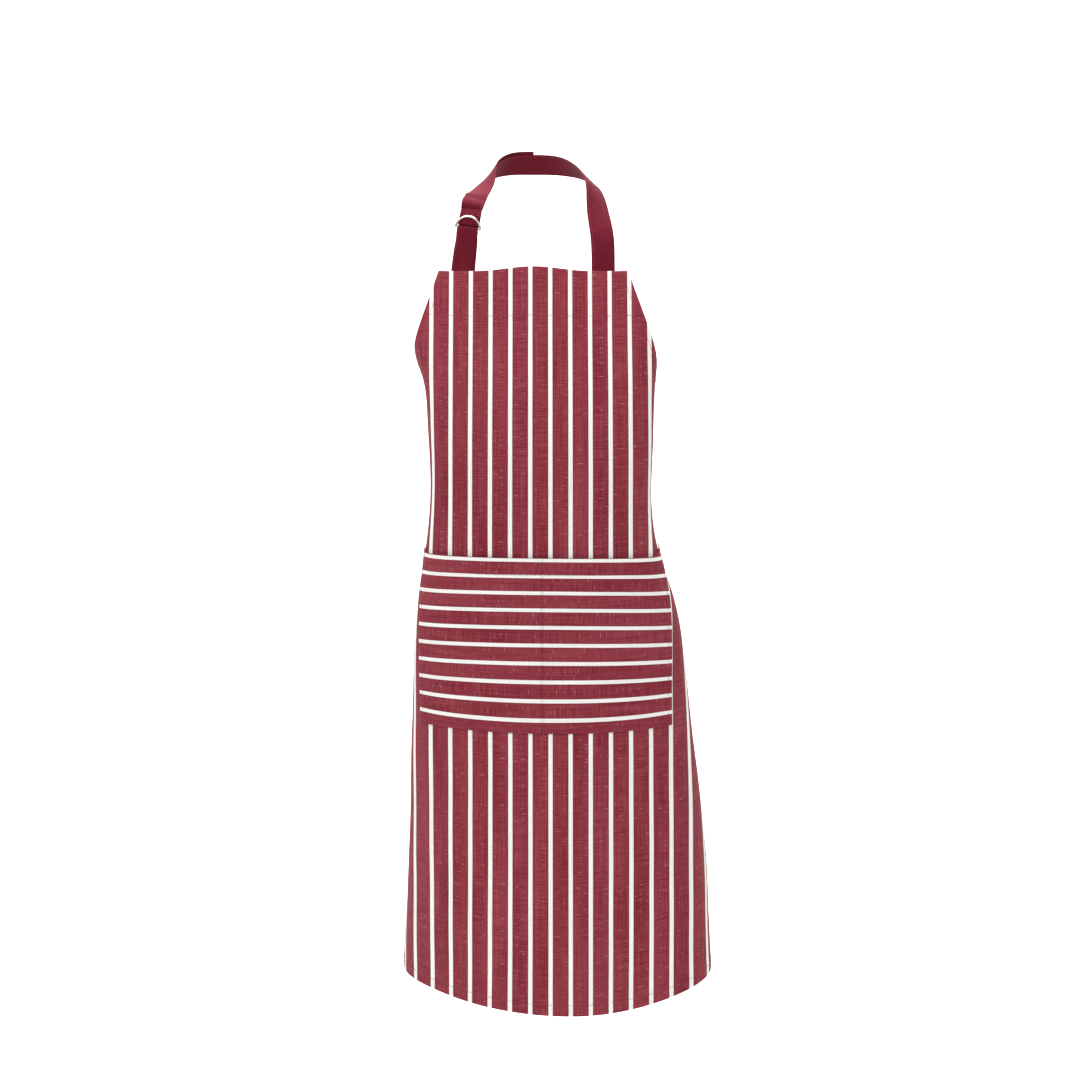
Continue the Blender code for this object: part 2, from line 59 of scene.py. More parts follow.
ARMHOLE_SWEEP = 0.142
BIB_HEM = 0.051
BOTTOM_HEM = 0.0135
EDGE_INSET = 0.009
POCKET_LEFT = -0.150
POCKET_RIGHT = 0.172
POCKET_TOP = 0.3285
POCKET_BOTTOM = 0.537
POCKET_HEM = 0.020
POCKET_INSET = 0.006
POCKET_CORNERS = (0.0055, 0.006, 0.0130, 0.015)  # left rise and width, right rise and width
POCKET_BLEND_EDGE = 0.012
POCKET_BLEND_INNER = 0.35

# The drape at a few heights, as in the CAD model
BIB_TOP_Z = -0.118
DROPS = np.array((0.0, 0.08, 0.13, 0.19, 0.32, 0.39, 0.54, 0.71, 0.89))
CENTRE_Y = (-0.118, -0.142, -0.157, -0.170, -0.180, -0.184, -0.188, -0.190, -0.189)
FRONT_RADIUS = (0.33, 0.33, 0.32, 0.31, 0.30, 0.29, 0.26, 0.25, 0.235)
TWIST_DEG = (0.0, 1.0, 1.5, 3.0, 4.4, 4.8, 5.3, 8.5, 13.0)
TURN_LEFT = (0.162, 0.156, 0.136, 0.133, 0.136, 0.150, 0.167, 0.186, 0.225)
TURN_RIGHT = (0.162, 0.156, 0.149, 0.145, 0.150, 0.176, 0.206, 0.231, 0.241)
TURN_SPREAD = (0.030, 0.030, 0.028, 0.026, 0.026, 0.030, 0.040, 0.045, 0.050)
SIDE_DEG = (95, 95, 96, 97, 98, 97, 95, 94, 93)
WRAP = (2.6, 2.8, 3.0, 3.3, 3.5, 3.7, 4.0, 4.0, 3.8)
SECTION_STEP = 0.001
SECTION_REACH = 0.40
DROP_STEP = 0.002
TOP_ARCH = 0.007
TOP_ARCH_WIDTH = 0.045
TOP_ARCH_DEPTH = 0.045
HEM_RISE_LEFT = 0.017
HEM_RISE_RIGHT = 0.044
HEM_RISE_WIDTH = 0.180
HEM_LOW_U = 0.050

# Cloth
CLOTH = 0.0007
HEM_EXTRA = 0.0006
HEM_FADE = 0.0006
HEM_MARGIN = 0.002
EDGE_ROUND = 0.0007
CELL = 0.0045
STRIPE_AT_X = -0.0035
STRIPE_PITCH_TOP = 0.0232
STRIPE_PITCH_HEM = 0.02396
STRIPE_SIDE_COS = 0.62
STRIPE_HALF = 0.106

# Straps, rings and threads
STRAP_WIDTH = 0.0284
STRAP_THICKNESS = 0.0014
STRAP_DRAWN = STRAP_THICKNESS * 0.82  # leaves the back ring room to rock
STRAP_EASED_WIDTH = 0.0246
STRAP_SEWN = 0.022
STRAP_RIGHT_U = 0.0835
STRAP_LEFT_U = -0.0865
TAB_WIDTH = 0.0246
TAB_SKEW = 0.0045
TAB_THICKNESS = 0.0010
TAB_CLEAR = 0.0002  # between the tab's fold and the strap's turn
RING_RADIUS = 0.01495
WIRE_RADIUS = 0.00115
BAR_OFFSET = 0.0016
FRONT_RING_LEAN = math.radians(10.5)
TIE_WIDTH = 0.028
TIE_THICKNESS = 0.0012
TIE_LENGTH = 0.545
TIE_BEND = 0.016
TIE_STUB = 0.004
TIE_SEWN = (0.0155, 0.008, 0.001)
TIE_END_HEM = 0.007
TIE_SWAY = 0.0030
GAP = 0.00035
LOOSE_GAP = 0.0009
BEHIND_PANEL = 0.0003 + LOOSE_GAP
RINGS_OVER_BIB = 0.050
LOAD_FRONT = -0.0038
TAIL_FRONT = 0.0008
BIGHT_UP = 0.0062
BIGHT_CELLS = 6
TAIL_LENGTH = 0.125
TAIL_OVER_LOAD = STRAP_THICKNESS + GAP
TAIL_SLIDE = 0.0035
TAIL_SLIDE_LENGTH = 0.05
EASED_REACH = 0.012
EASED_FADE = 0.025
LABEL_WIDTH = 0.030
LABEL_LENGTH = 0.045
LABEL_THICKNESS = 0.0004
LABEL_INSET = 0.022
LABEL_DROP = 0.640
LABEL_BEHIND = CLOTH / 2 + 0.0005
STITCH_PITCH = 0.0031
STITCH_LENGTH = 0.0026
STITCH_RADIUS = 0.00024
BARTACK_WIDTH = 0.0024
BARTACK_LENGTH = 0.022
BARTACK_FROM_END = 0.008
BARTACK_PITCH = 0.00055

# Colours
CHAMBRAY_DEEP = (0.180, 0.014, 0.027)
CHAMBRAY_PALE = (0.310, 0.056, 0.074)
CHAMBRAY_BORDER = (0.115, 0.010, 0.020)
TAPE_DEEP = (0.105, 0.0035, 0.012)
TAPE_PALE = (0.155, 0.008, 0.024)

# Stage and camera
FLOOR_Z = -1.45
FLOOR_FRONT = -7.0
FLOOR_HALF_WIDTH = 7.0
BACKDROP_Y = 3.2
BACKDROP_TURN = 1.6
BACKDROP_TOP = 6.0
WORLD_STRENGTH = 0.40
CAMERA_AT = (0.0078, -4.370, 0.253)
CAMERA_TILT = math.radians(9.2)
CAMERA_LENS = 121.23
SENSOR_WIDTH = 36.0


# ------------------------ the drape


def along(values, drop):
    """One row of the drape at these drops, on a smooth curve through its heights."""
    values = np.array(values, float)
    slopes = np.gradient(values, DROPS)
    k = np.clip(np.searchsorted(DROPS, drop) - 1, 0, len(DROPS) - 2)
    span = DROPS[k + 1] - DROPS[k]
    t = (drop - DROPS[k]) / span
    start = values[k] * (1 + 2 * t) * (1 - t) ** 2 + slopes[k] * span * t * (1 - t) ** 2
    end = values[k + 1] * t * t * (3 - 2 * t) + slopes[k + 1] * span * t * t * (t - 1)
    return start + end


def section_table(side):
    """Plan curves of one side at all heights: x, y, heading and the stripes' run, by drop and distance."""
    s = np.arange(0.0, SECTION_REACH + SECTION_STEP, SECTION_STEP)[None, :]
    drop = np.arange(0.0, PANEL_LENGTH + 6 * DROP_STEP, DROP_STEP)[:, None]
    turn = along(TURN_RIGHT if side > 0 else TURN_LEFT, drop)
    share = 0.5 * (1 + np.tanh((s - turn) / along(TURN_SPREAD, drop)))
    front = side * s / along(FRONT_RADIUS, drop) - np.radians(along(TWIST_DEG, drop))
    back = side * (np.radians(along(SIDE_DEG, drop)) + along(WRAP, drop) * (s - turn))
    heading = (1 - share) * front + share * back

    def run(rate):
        steps = (rate[:, 1:] + rate[:, :-1]) / 2
        return np.concatenate((np.zeros((len(drop), 1)), np.cumsum(steps, 1)), 1) * SECTION_STEP * side

    stripes = run(np.maximum(np.cos(heading), STRIPE_SIDE_COS))
    return np.stack((run(np.cos(heading)), run(np.sin(heading)) + along(CENTRE_Y, drop), heading, stripes))


TABLES = (section_table(-1), section_table(1))


def look_up(u, drop):
    """x, y, heading and stripe run of the cloth's points, between the tables' entries."""
    found = np.empty((4, len(u)))
    row = np.clip(drop / DROP_STEP, 0, TABLES[0].shape[1] - 1.001)
    column = np.clip(np.abs(u) / SECTION_STEP, 0, TABLES[0].shape[2] - 1.001)
    j, i = row.astype(int), column.astype(int)
    b, a = row - j, column - i
    for table, chosen in ((TABLES[0], u <= 0), (TABLES[1], u > 0)):
        jj, ii, aa, bb = j[chosen], i[chosen], a[chosen], b[chosen]
        upper = table[:, jj, ii] * (1 - aa) + table[:, jj, ii + 1] * aa
        lower = table[:, jj + 1, ii] * (1 - aa) + table[:, jj + 1, ii + 1] * aa
        found[:, chosen] = upper * (1 - bb) + lower * bb
    return found


def swell(u, drop):
    """The soft unevenness of worn cloth, outwards, shared by all layers of the apron."""
    firm = np.clip((drop - 0.035) / 0.10, 0, 1) ** 2
    wide = np.sin(9.0 * u + 3.1 * drop + 0.6) * np.sin(7.0 * drop + 2.0 * u)
    long = np.sin(26.0 * u + 4.0 * np.sin(2.3 * drop + 0.4)) * np.clip(drop - 0.30, 0, 1) ** 1.5
    small = np.sin(41.0 * u + 23.0 * drop) * np.sin(31.0 * drop - 17.0 * u + 1.0)
    nip = np.exp(-(((u + 0.140) / 0.030) ** 2) - ((drop - 0.235) / 0.065) ** 2)
    return firm * (0.0012 * wide + 0.0040 * long + 0.00035 * small - 0.0030 * nip)


def drape(u, drop, offset):
    """Where the cloth's points lie, moved outwards by offset. All three are arrays of one length."""
    x, y, heading, _ = look_up(u, drop)
    arch = TOP_ARCH * np.exp(-((u / TOP_ARCH_WIDTH) ** 2) - drop / TOP_ARCH_DEPTH)
    away = 1 - np.exp(-(((u - HEM_LOW_U) / HEM_RISE_WIDTH) ** 2))
    rise = np.where(u > HEM_LOW_U, HEM_RISE_RIGHT, HEM_RISE_LEFT) * away * (drop / PANEL_LENGTH) ** 4
    out = offset + swell(u, drop)
    return np.stack((x + out * np.sin(heading), y - out * np.cos(heading), BIB_TOP_Z - drop + arch + rise), 1)


def at(u, drop, offset=0.0):
    """One point of the cloth."""
    return Vector(drape(np.array([u]), np.array([drop]), np.array([offset]))[0])


def facing_out(u, drop):
    """The cloth's outward facing at one point, taken over a small square."""
    step = 0.004
    across = at(u + step, drop) - at(u - step, drop)
    down = at(u, drop + step) - at(u, max(drop - step, 0.0))
    return down.cross(across).normalized()


def side_edge(drop):
    """Half width of the flat panel at a drop: the armhole curve, then the straight side."""
    t = np.minimum(drop / CORNER_DROP, 1.0)
    return BIB_HALF_WIDTH + ARMHOLE_SLANT * t + ARMHOLE_SWEEP * t**3


# ------------------------ materials


class Nodes:
    """A small helper that adds shader nodes to one material."""

    def __init__(self, name):
        self.material = bpy.data.materials.new(name)
        self.material.use_nodes = True
        self.tree = self.material.node_tree
        self.shader = self.tree.nodes["Principled BSDF"]

    def new(self, kind):
        return self.tree.nodes.new("ShaderNode" + kind)

    def put(self, socket, value):
        if isinstance(value, bpy.types.NodeSocket):
            self.tree.links.new(value, socket)
        elif isinstance(value, tuple) and socket.type == "RGBA":
            socket.default_value = (*value, 1.0)
        else:
            socket.default_value = value

    def math(self, operation, a, b=0.0):
        node = self.new("Math")
        node.operation = operation
        self.put(node.inputs[0], a)
        self.put(node.inputs[1], b)
        return node.outputs[0]

    def plus(self, a, b):
        return self.math("ADD", a, b)

    def minus(self, a, b):
        return self.math("SUBTRACT", a, b)

    def times(self, a, b):
        return self.math("MULTIPLY", a, b)

    def mix(self, share, a, b):
        node = self.new("Mix")
        node.data_type = "RGBA"
        self.put(node.inputs["Factor"], share)
        self.put(node.inputs[6], a)
        self.put(node.inputs[7], b)
        return node.outputs[2]

    def ramp(self, value, low, high):
        """0 below low, 1 above high, smooth between."""
        node = self.new("MapRange")
        node.interpolation_type = "SMOOTHSTEP"
        for key, number in (("Value", value), ("From Min", low), ("From Max", high)):
            self.put(node.inputs[key], number)
        return node.outputs[0]

    def attribute(self, name):
        node = self.new("Attribute")
        node.attribute_name = name
        return node

    def flat(self):
        """The piece's flat cloth coordinates, in metres, as separate values across and down."""
        node = self.new("SeparateXYZ")
        self.tree.links.new(self.attribute("flat").outputs["Vector"], node.inputs[0])
        return node.outputs[0], node.outputs[1]

    def noise(self, across, down, scale_across, scale_down, detail=2.0, seed=0.0):
        join = self.new("CombineXYZ")
        self.put(join.inputs[0], self.times(across, scale_across))
        self.put(join.inputs[1], self.times(down, scale_down))
        join.inputs[2].default_value = seed
        node = self.new("TexNoise")
        node.inputs["Scale"].default_value = 1.0
        node.inputs["Detail"].default_value = detail
        self.tree.links.new(join.outputs[0], node.inputs["Vector"])
        return node.outputs[0]

    def weave(self, across, down, pitch):
        """The small over-and-under relief of plain weave, from -1 to 1."""
        turns = math.pi / pitch
        a = self.math("SINE", self.times(across, turns))
        b = self.math("SINE", self.times(down, turns))
        return self.math("MULTIPLY", a, b)

    def bump(self, height, distance, strength=1.0):
        node = self.new("Bump")
        node.inputs["Distance"].default_value = distance
        node.inputs["Strength"].default_value = strength
        self.put(node.inputs["Height"], height)
        self.put(self.shader.inputs["Normal"], node.outputs[0])

    def finish(self, colour, roughness, sheen=0.0, specular=0.5, metallic=0.0):
        keys = ("Base Color", "Roughness", "Sheen Weight", "Specular IOR Level", "Metallic")
        for key, value in zip(keys, (colour, roughness, sheen, specular, metallic)):
            self.put(self.shader.inputs[key], value)
        return self.material


def chambray(name, deep, pale, turned):
    """Striped chambray: burgundy warp with paler weft, slubs along the weft, and white stripes."""
    n = Nodes(name)
    across, down = n.flat()
    warp, weft = (down, across) if turned else (across, down)
    slub = n.noise(warp, weft, 34.0, 880.0, 2.0, 1.0)
    thread = n.noise(warp, weft, 900.0, 14.0, 2.0, 4.0)
    patch = n.noise(warp, weft, 30.0, 5.0, 1.0, 7.0)
    body = n.plus(n.times(slub, 0.42), n.times(thread, 0.40))
    body = n.plus(body, n.times(patch, 0.18))
    ground = n.mix(n.ramp(body, 0.36, 0.66), deep, pale)
    fleck = n.times(n.ramp(n.noise(warp, weft, 120.0, 1000.0, 0.0, 11.0), 0.74, 0.80), 0.60)
    ground = n.mix(fleck, ground, (0.50, 0.24, 0.24))

    stripe = n.attribute("stripe").outputs["Fac"]
    beside = n.math("ABSOLUTE", n.minus(n.math("FRACT", n.plus(stripe, 0.5)), 0.5))
    beside = n.plus(beside, n.times(n.minus(slub, 0.5), 0.008))
    border = n.minus(1.0, n.ramp(beside, STRIPE_HALF + 0.012, STRIPE_HALF + 0.055))
    ground = n.mix(n.times(border, 0.62), ground, CHAMBRAY_BORDER)
    white = n.mix(n.ramp(thread, 0.3, 0.7), (0.80, 0.78, 0.74), (0.90, 0.89, 0.86))
    colour = n.mix(n.ramp(beside, STRIPE_HALF - 0.012, STRIPE_HALF + 0.012), white, ground)

    height = n.plus(n.weave(warp, weft, 0.00052), n.times(slub, 2.4))
    height = n.plus(height, n.times(thread, 1.2))
    n.bump(height, 0.00012, 0.7)
    return n.finish(colour, n.plus(0.78, n.times(body, 0.2)), 0.04, 0.08)


def tape_cloth(name, deep, pale):
    """Plain twill tape, with fine slanting ribs."""
    n = Nodes(name)
    across, down = n.flat()
    slant = n.times(n.plus(across, n.times(down, 0.6)), 2 * math.pi / 0.0011)
    rib = n.math("SINE", slant)
    thread = n.noise(across, down, 900.0, 160.0, 2.0, 2.0)
    patch = n.noise(across, down, 60.0, 22.0, 2.0, 5.0)
    tone = n.plus(n.times(thread, 0.6), n.times(patch, 0.4))
    tone = n.plus(tone, n.times(rib, 0.04))
    colour = n.mix(n.ramp(tone, 0.35, 0.70), deep, pale)
    n.bump(n.plus(n.times(rib, 0.5), thread), 0.00012, 0.7)
    return n.finish(colour, 0.76, 0.05, 0.10)


def thread_cloth(name, deep, pale):
    """Twisted sewing thread."""
    n = Nodes(name)
    across, down = n.flat()
    twist = n.times(n.plus(across, n.times(down, 0.5)), 2 * math.pi / 0.0005)
    ply = n.math("SINE", twist)
    colour = n.mix(n.ramp(ply, -1.0, 1.0), deep, pale)
    n.bump(ply, 0.00005, 0.6)
    return n.finish(colour, 0.5, 0.0, 0.4)


def satin(name, colour):
    """Woven satin ribbon for the label."""
    n = Nodes(name)
    across, down = n.flat()
    float_line = n.noise(across, down, 240.0, 3200.0, 1.0, 3.0)
    shade = n.mix(n.ramp(float_line, 0.3, 0.7), tuple(0.86 * c for c in colour), colour)
    n.bump(float_line, 0.00006, 0.6)
    return n.finish(shade, 0.34, 0.2, 0.5)


def nickel(name):
    """Plated wire: bright, with faint drawn lines and a little wear."""
    n = Nodes(name)
    across, down = n.flat()
    drawn = n.noise(across, down, 3500.0, 60.0, 2.0, 6.0)
    worn = n.noise(across, down, 300.0, 200.0, 3.0, 9.0)
    colour = n.mix(n.ramp(worn, 0.50, 0.75), (0.90, 0.83, 0.76), (0.66, 0.58, 0.52))
    roughness = n.plus(0.16, n.times(worn, 0.16))
    n.bump(drawn, 0.00002, 0.5)
    return n.finish(colour, roughness, 0.0, 0.5, 1.0)


def studio_paper(name):
    """The pale floor and backdrop, one sheet of studio paper."""
    n = Nodes(name)
    place = n.new("TexCoord").outputs["Object"]
    grain = n.new("TexNoise")
    grain.inputs["Scale"].default_value = 3.0
    n.tree.links.new(place, grain.inputs["Vector"])
    colour = n.mix(grain.outputs[0], (0.90, 0.90, 0.89), (0.93, 0.93, 0.92))
    return n.finish(colour, 0.9, 0.0, 0.1)


CHAMBRAY = chambray("striped_chambray_cloth", CHAMBRAY_DEEP, CHAMBRAY_PALE, False)
POCKET_CHAMBRAY = chambray("pocket_chambray_cloth", CHAMBRAY_DEEP, CHAMBRAY_PALE, True)
TAPE = tape_cloth("strap_tape_cloth", TAPE_DEEP, TAPE_PALE)
THREAD = thread_cloth("sewing_thread_cloth", (0.20, 0.020, 0.035), (0.36, 0.06, 0.08))
SATIN = satin("label_satin_cloth", (0.85, 0.84, 0.80))
NICKEL = nickel("nickel_wire_metal")


# ------------------------ mesh helpers


def placed_object(name, data):
    """An object in the scene."""
    obj = bpy.data.objects.new(name, data)
    bpy.context.scene.collection.objects.link(obj)
    return obj


def new_piece(name, points, faces, flat, skin, stripe=None):
    """A smooth mesh object with its flat cloth coordinates, and its stripe numbers where it has them."""
    mesh = bpy.data.meshes.new(name)
    mesh.from_pydata([tuple(p) for p in points], [], [tuple(f) for f in faces])
    mesh.polygons.foreach_set("use_smooth", [True] * len(mesh.polygons))
    layer = mesh.attributes.new("flat", "FLOAT_VECTOR", "POINT")
    values = np.zeros((len(points), 3), np.float32)
    values[:, :2] = flat
    layer.data.foreach_set("vector", values.ravel())
    if stripe is not None:
        layer = mesh.attributes.new("stripe", "FLOAT", "POINT")
        layer.data.foreach_set("value", np.asarray(stripe, np.float32))
    mesh.materials.append(skin)
    mesh.update()
    return placed_object(name, mesh)


def closed_sheet(name, front, back, flat, skin, stripe):
    """A closed cloth sheet from two grids of points, front and back, each rows by columns by 3."""
    rows, columns = front.shape[:2]
    index = np.arange(rows * columns).reshape(rows, columns)
    a, b, c, d = index[:-1, :-1], index[1:, :-1], index[1:, 1:], index[:-1, 1:]
    faces = [np.stack((a, b, c, d), -1).reshape(-1, 4)]
    shift = rows * columns
    faces.append(np.stack((a, d, c, b), -1).reshape(-1, 4) + shift)
    rim = np.concatenate((index[:, 0], index[-1, 1:], index[-2::-1, -1], index[0, -2:0:-1]))
    nxt = np.roll(rim, -1)
    faces.append(np.stack((nxt, rim, rim + shift, nxt + shift), -1))
    points = np.concatenate((front.reshape(-1, 3), back.reshape(-1, 3)))
    both = np.concatenate((flat.reshape(-1, 2),) * 2)
    numbers = np.concatenate((stripe.ravel(),) * 2)
    sheet = new_piece(name, points, np.concatenate(faces), both, skin, numbers)
    for polygon in sheet.data.polygons[-len(rim) :]:
        polygon.use_smooth = False
    return sheet


def draped(u, drop, offset):
    """A grid of cloth points, rows by columns by 3, from grids of u, drop and offset."""
    return drape(u.ravel(), drop.ravel(), offset.ravel()).reshape(*u.shape, 3)


def fade(distance):
    """1 inside a hem, 0 beyond it."""
    t = np.clip(distance / HEM_FADE, -1, 1) * 0.5 + 0.5
    return t * t * (3 - 2 * t)


def pucker(distance, run):
    """Small gathers of the cloth beside a line of stitches, fading away from it."""
    wave = np.sin(2 * math.pi * run / 0.0093 + 1.3 * np.sin(run * 61.0))
    gathers = 0.00022 * wave * np.exp(-((distance / 0.0050) ** 2))
    return gathers - 0.00010 * np.exp(-((distance / 0.0009) ** 2))


def rounded(edge):
    """How much of its thickness the cloth has at this distance from its cut edge."""
    return np.sqrt(np.clip(edge / EDGE_ROUND, 0.0, 1.0)) * 0.75 + 0.25


def panel_relief(u, drop):
    """How far the body panel's front and back faces lie from its middle, hems and puckers included."""
    from_side = side_edge(drop) - np.abs(u)
    from_hem = PANEL_LENGTH - drop
    into_hem = (BIB_HEM - drop, BOTTOM_HEM - from_hem, EDGE_INSET - from_side)
    hem = fade(np.maximum.reduce(into_hem) + HEM_MARGIN)
    gather = pucker(drop - BIB_HEM, u) + pucker(from_hem - BOTTOM_HEM, u)
    gather = gather + pucker(from_side - EDGE_INSET, drop)
    edge = np.minimum.reduce((drop, from_hem, from_side))
    rounding = rounded(edge)
    front = (CLOTH / 2 + 0.0001 * hem) * rounding + gather
    back = -(CLOTH / 2 + HEM_EXTRA * hem) * rounding + gather
    return front, back


# ------------------------ cloth pieces


def edge_lines(inner, outer_steps, cells):
    """Grid positions from 0 to inner: small steps at both ends, even ones between."""
    low = list(outer_steps)
    high = [inner - d for d in reversed(outer_steps)]
    middle = np.linspace(low[-1], high[0], cells + 1)[1:-1]
    return np.array(low + list(middle) + high)


EDGE_STEPS = (0.0, 0.0003, 0.0010, 0.0025, 0.0050, 0.0075, 0.0090, 0.0104, 0.0116, 0.0140)


def panel_grid():
    """u and drop of the body panel's grid, rows by columns, with lines along its hems."""
    near_hem = (0.0, 0.0003, 0.0010, 0.0030, 0.0060, 0.0100, 0.0122, 0.0135, 0.0149, 0.0161, 0.0190)
    upper = np.concatenate((np.array(near_hem[:5]), np.arange(0.0105, 0.0460, CELL)))
    hem_end = np.array((0.0480, 0.0500, 0.0510, 0.0524, 0.0536, 0.0560))
    middle = np.linspace(0.0560, PANEL_LENGTH - near_hem[-1], 182)[1:]
    lower = PANEL_LENGTH - np.array(near_hem[-2::-1])
    drops = np.concatenate((upper, hem_end, middle, lower))
    drops[np.argmin(np.abs(drops - CORNER_DROP))] = CORNER_DROP
    cells = 158
    rows = []
    for drop in drops:
        half = float(side_edge(drop))
        inner = np.linspace(-(half - EDGE_STEPS[-1]), half - EDGE_STEPS[-1], cells + 1)
        left = -half + np.array(EDGE_STEPS[:-1])
        rows.append(np.concatenate((left, inner, -left[::-1])))
    u = np.array(rows)
    return u, np.repeat(drops[:, None], u.shape[1], 1)


def make_panel():
    """The body panel, one sheet of chambray with turned and stitched hems."""
    u, drop = panel_grid()
    front, back = panel_relief(u, drop)
    outer, inner = draped(u, drop, front), draped(u, drop, back)
    run = look_up(u.ravel(), drop.ravel())[3].reshape(u.shape)
    pitch = STRIPE_PITCH_TOP + (STRIPE_PITCH_HEM - STRIPE_PITCH_TOP) * drop / PANEL_LENGTH
    stripe = (run - STRIPE_AT_X) / pitch
    panel = closed_sheet("apron_cloth", outer, inner, np.stack((u, drop), -1), CHAMBRAY, stripe)
    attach(panel, "apron")
    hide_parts("body_panel")
    return panel


def pocket_place(u):
    """-1 at the pocket's left side, 0 in its middle, 1 at its right side."""
    return (2 * u - POCKET_LEFT - POCKET_RIGHT) / (POCKET_RIGHT - POCKET_LEFT)


def bowed(u, left, middle, right):
    """A value that bows from the pocket's middle to its sides."""
    t = pocket_place(u)
    return middle + np.where(t < 0, left - middle, right - middle) * t * t


def pocket_top(u):
    """Where the pocket's mouth lies: it sags a little, and its sewn corners stand up."""
    left_rise, left_wide, right_rise, right_wide = POCKET_CORNERS
    right_corner = right_rise * np.exp(-(((POCKET_RIGHT - u) / right_wide) ** 2))
    left_corner = left_rise * np.exp(-(((u - POCKET_LEFT) / left_wide) ** 2))
    return POCKET_TOP + bowed(u, 0.0022, 0.0, 0.0052) - right_corner - left_corner


def pocket_stripe(u, drop):
    """The number of stripe pitches below the pocket's first stripe, on lines that sag in the middle."""
    first = bowed(u, 0.33395, 0.33087, 0.33715)
    pitch = bowed(u, 0.02064, 0.01884, 0.02034)
    growth = bowed(u, 0.00001, 0.000255, 0.00001)
    return (-pitch + np.sqrt(pitch * pitch + 4 * growth * (drop - first))) / (2 * growth)


def pocket_relief(u, drop):
    """How far the pocket's faces lie out from the panel's middle."""
    top = pocket_top(u)
    from_top = drop - top
    from_bottom = POCKET_BOTTOM - drop
    from_side = np.minimum(u - POCKET_LEFT, POCKET_RIGHT - u)
    loose = np.clip(from_side / 0.035, 0, 1) * np.clip(from_bottom / 0.05, 0, 1)
    mouth = np.exp(-np.clip(from_top, 0, 1) / 0.030)
    belly = loose * (0.0007 + 0.0016 * mouth)
    hem = np.maximum.reduce(
        (fade(POCKET_HEM + HEM_MARGIN - from_top), fade(0.009 - from_side), fade(0.009 - from_bottom))
    )
    gather = pucker(from_top - POCKET_HEM, u) + pucker(from_bottom - POCKET_INSET, u)
    gather = gather + pucker(from_side - POCKET_INSET, drop)
    edge = np.minimum.reduce((from_top, from_bottom, from_side))
    rounding = rounded(edge)
    middle = CLOTH / 2 + GAP + CLOTH / 2 + 0.0003 * hem + belly + 0.0004
    front = middle + (CLOTH / 2 + 0.0003 * hem) * rounding + gather
    back = middle - (CLOTH / 2 + 0.0003 * hem) * rounding + gather * 0.5
    return front, back


def make_pocket():
    """The pocket in two halves that meet in its middle, so that each side seam stays on the panel."""
    steps = (0.0, 0.0003, 0.0010, 0.0025, 0.0045, 0.0060, 0.0075, 0.0090, 0.0110)
    across = edge_lines(POCKET_RIGHT - POCKET_LEFT, steps, 74) + POCKET_LEFT
    down = edge_lines(1.0, tuple(step / (POCKET_BOTTOM - POCKET_TOP) for step in steps), 46)
    down = np.sort(np.concatenate((down, (0.0885, 0.0930, 0.0962, 0.1010, 0.1060, 0.1110))))
    middle = int(np.argmin(np.abs(across - (POCKET_LEFT + POCKET_RIGHT) / 2)))
    pieces = []
    for word, part in (("left", across[: middle + 1]), ("right", across[middle:])):
        u = np.repeat(part[None, :], len(down), 0)
        top = pocket_top(u)
        drop = top + (POCKET_BOTTOM - top) * down[:, None]
        front, back = pocket_relief(u, drop)
        outer, inner = draped(u, drop, front), draped(u, drop, back)
        flat = np.stack((u, drop), -1)
        stripe = pocket_stripe(u, drop)
        half = closed_sheet(f"pocket_cloth_{word}", outer, inner, flat, POCKET_CHAMBRAY, stripe)
        pieces.append(half)
    blend_pocket(pieces[0], "left")
    blend_pocket(pieces[1], "right")
    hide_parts("pocket_panel")
    return pieces


def blend_pocket(piece, word):
    """Bakes a pocket piece's transform into its mesh; it reads the drape at the blend's edge and inner lines,
    but the cloth is not blended towards the panel.
    """
    level = (POCKET_TOP + POCKET_BOTTOM) / 2
    edge = POCKET_LEFT + POCKET_BLEND_EDGE if word == "left" else POCKET_RIGHT - POCKET_BLEND_EDGE
    inner = edge * POCKET_BLEND_INNER
    at(edge, level).x
    at(inner, level).x
    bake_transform(piece)


# ------------------------ stitches


def stitch_template():
    """One stitch lying along X: rings of points that dive into the cloth at both ends."""
    sides = 5
    rings = ((-1.0, 0.35, -1.1), (-0.62, 0.95, 0.0), (0.62, 0.95, 0.0), (1.0, 0.35, -1.1))
    points = []
    for x, size, height in rings:
        for k in range(sides):
            angle = 2 * math.pi * k / sides
            points.append((x, size * math.cos(angle), height + size * math.sin(angle)))
    faces = []
    for r in range(len(rings) - 1):
        for k in range(sides):
            a, b = r * sides + k, r * sides + (k + 1) % sides
            faces.append((a, a + sides, b + sides, b))
    faces += [tuple(range(sides)), tuple(reversed(range(3 * sides, 4 * sides)))]
    return np.array(points), faces


STITCH_POINTS, STITCH_FACES = stitch_template()


def stitches(name, placed):
    """A piece of many stitches, each placed by its middle, its direction, its facing and its length."""
    points, flat, faces = [], [], []
    for middle, ahead, facing, length in placed:
        side = np.cross(facing, ahead)
        local = STITCH_POINTS * (length / 2, STITCH_RADIUS, STITCH_RADIUS)
        base = len(points) * len(STITCH_POINTS)
        points.append(middle + local[:, :1] * ahead + local[:, 1:2] * side + local[:, 2:] * facing)
        flat.append(local[:, :2] + (0.01 * len(points), 0.0))
        faces += [tuple(base + k for k in face) for face in STITCH_FACES]
    return new_piece(name, np.concatenate(points), faces, np.concatenate(flat), THREAD)


def unit(vectors):
    """Vectors of length 1 along the last axis."""
    return vectors / np.maximum(np.linalg.norm(vectors, axis=-1, keepdims=True), 1e-12)


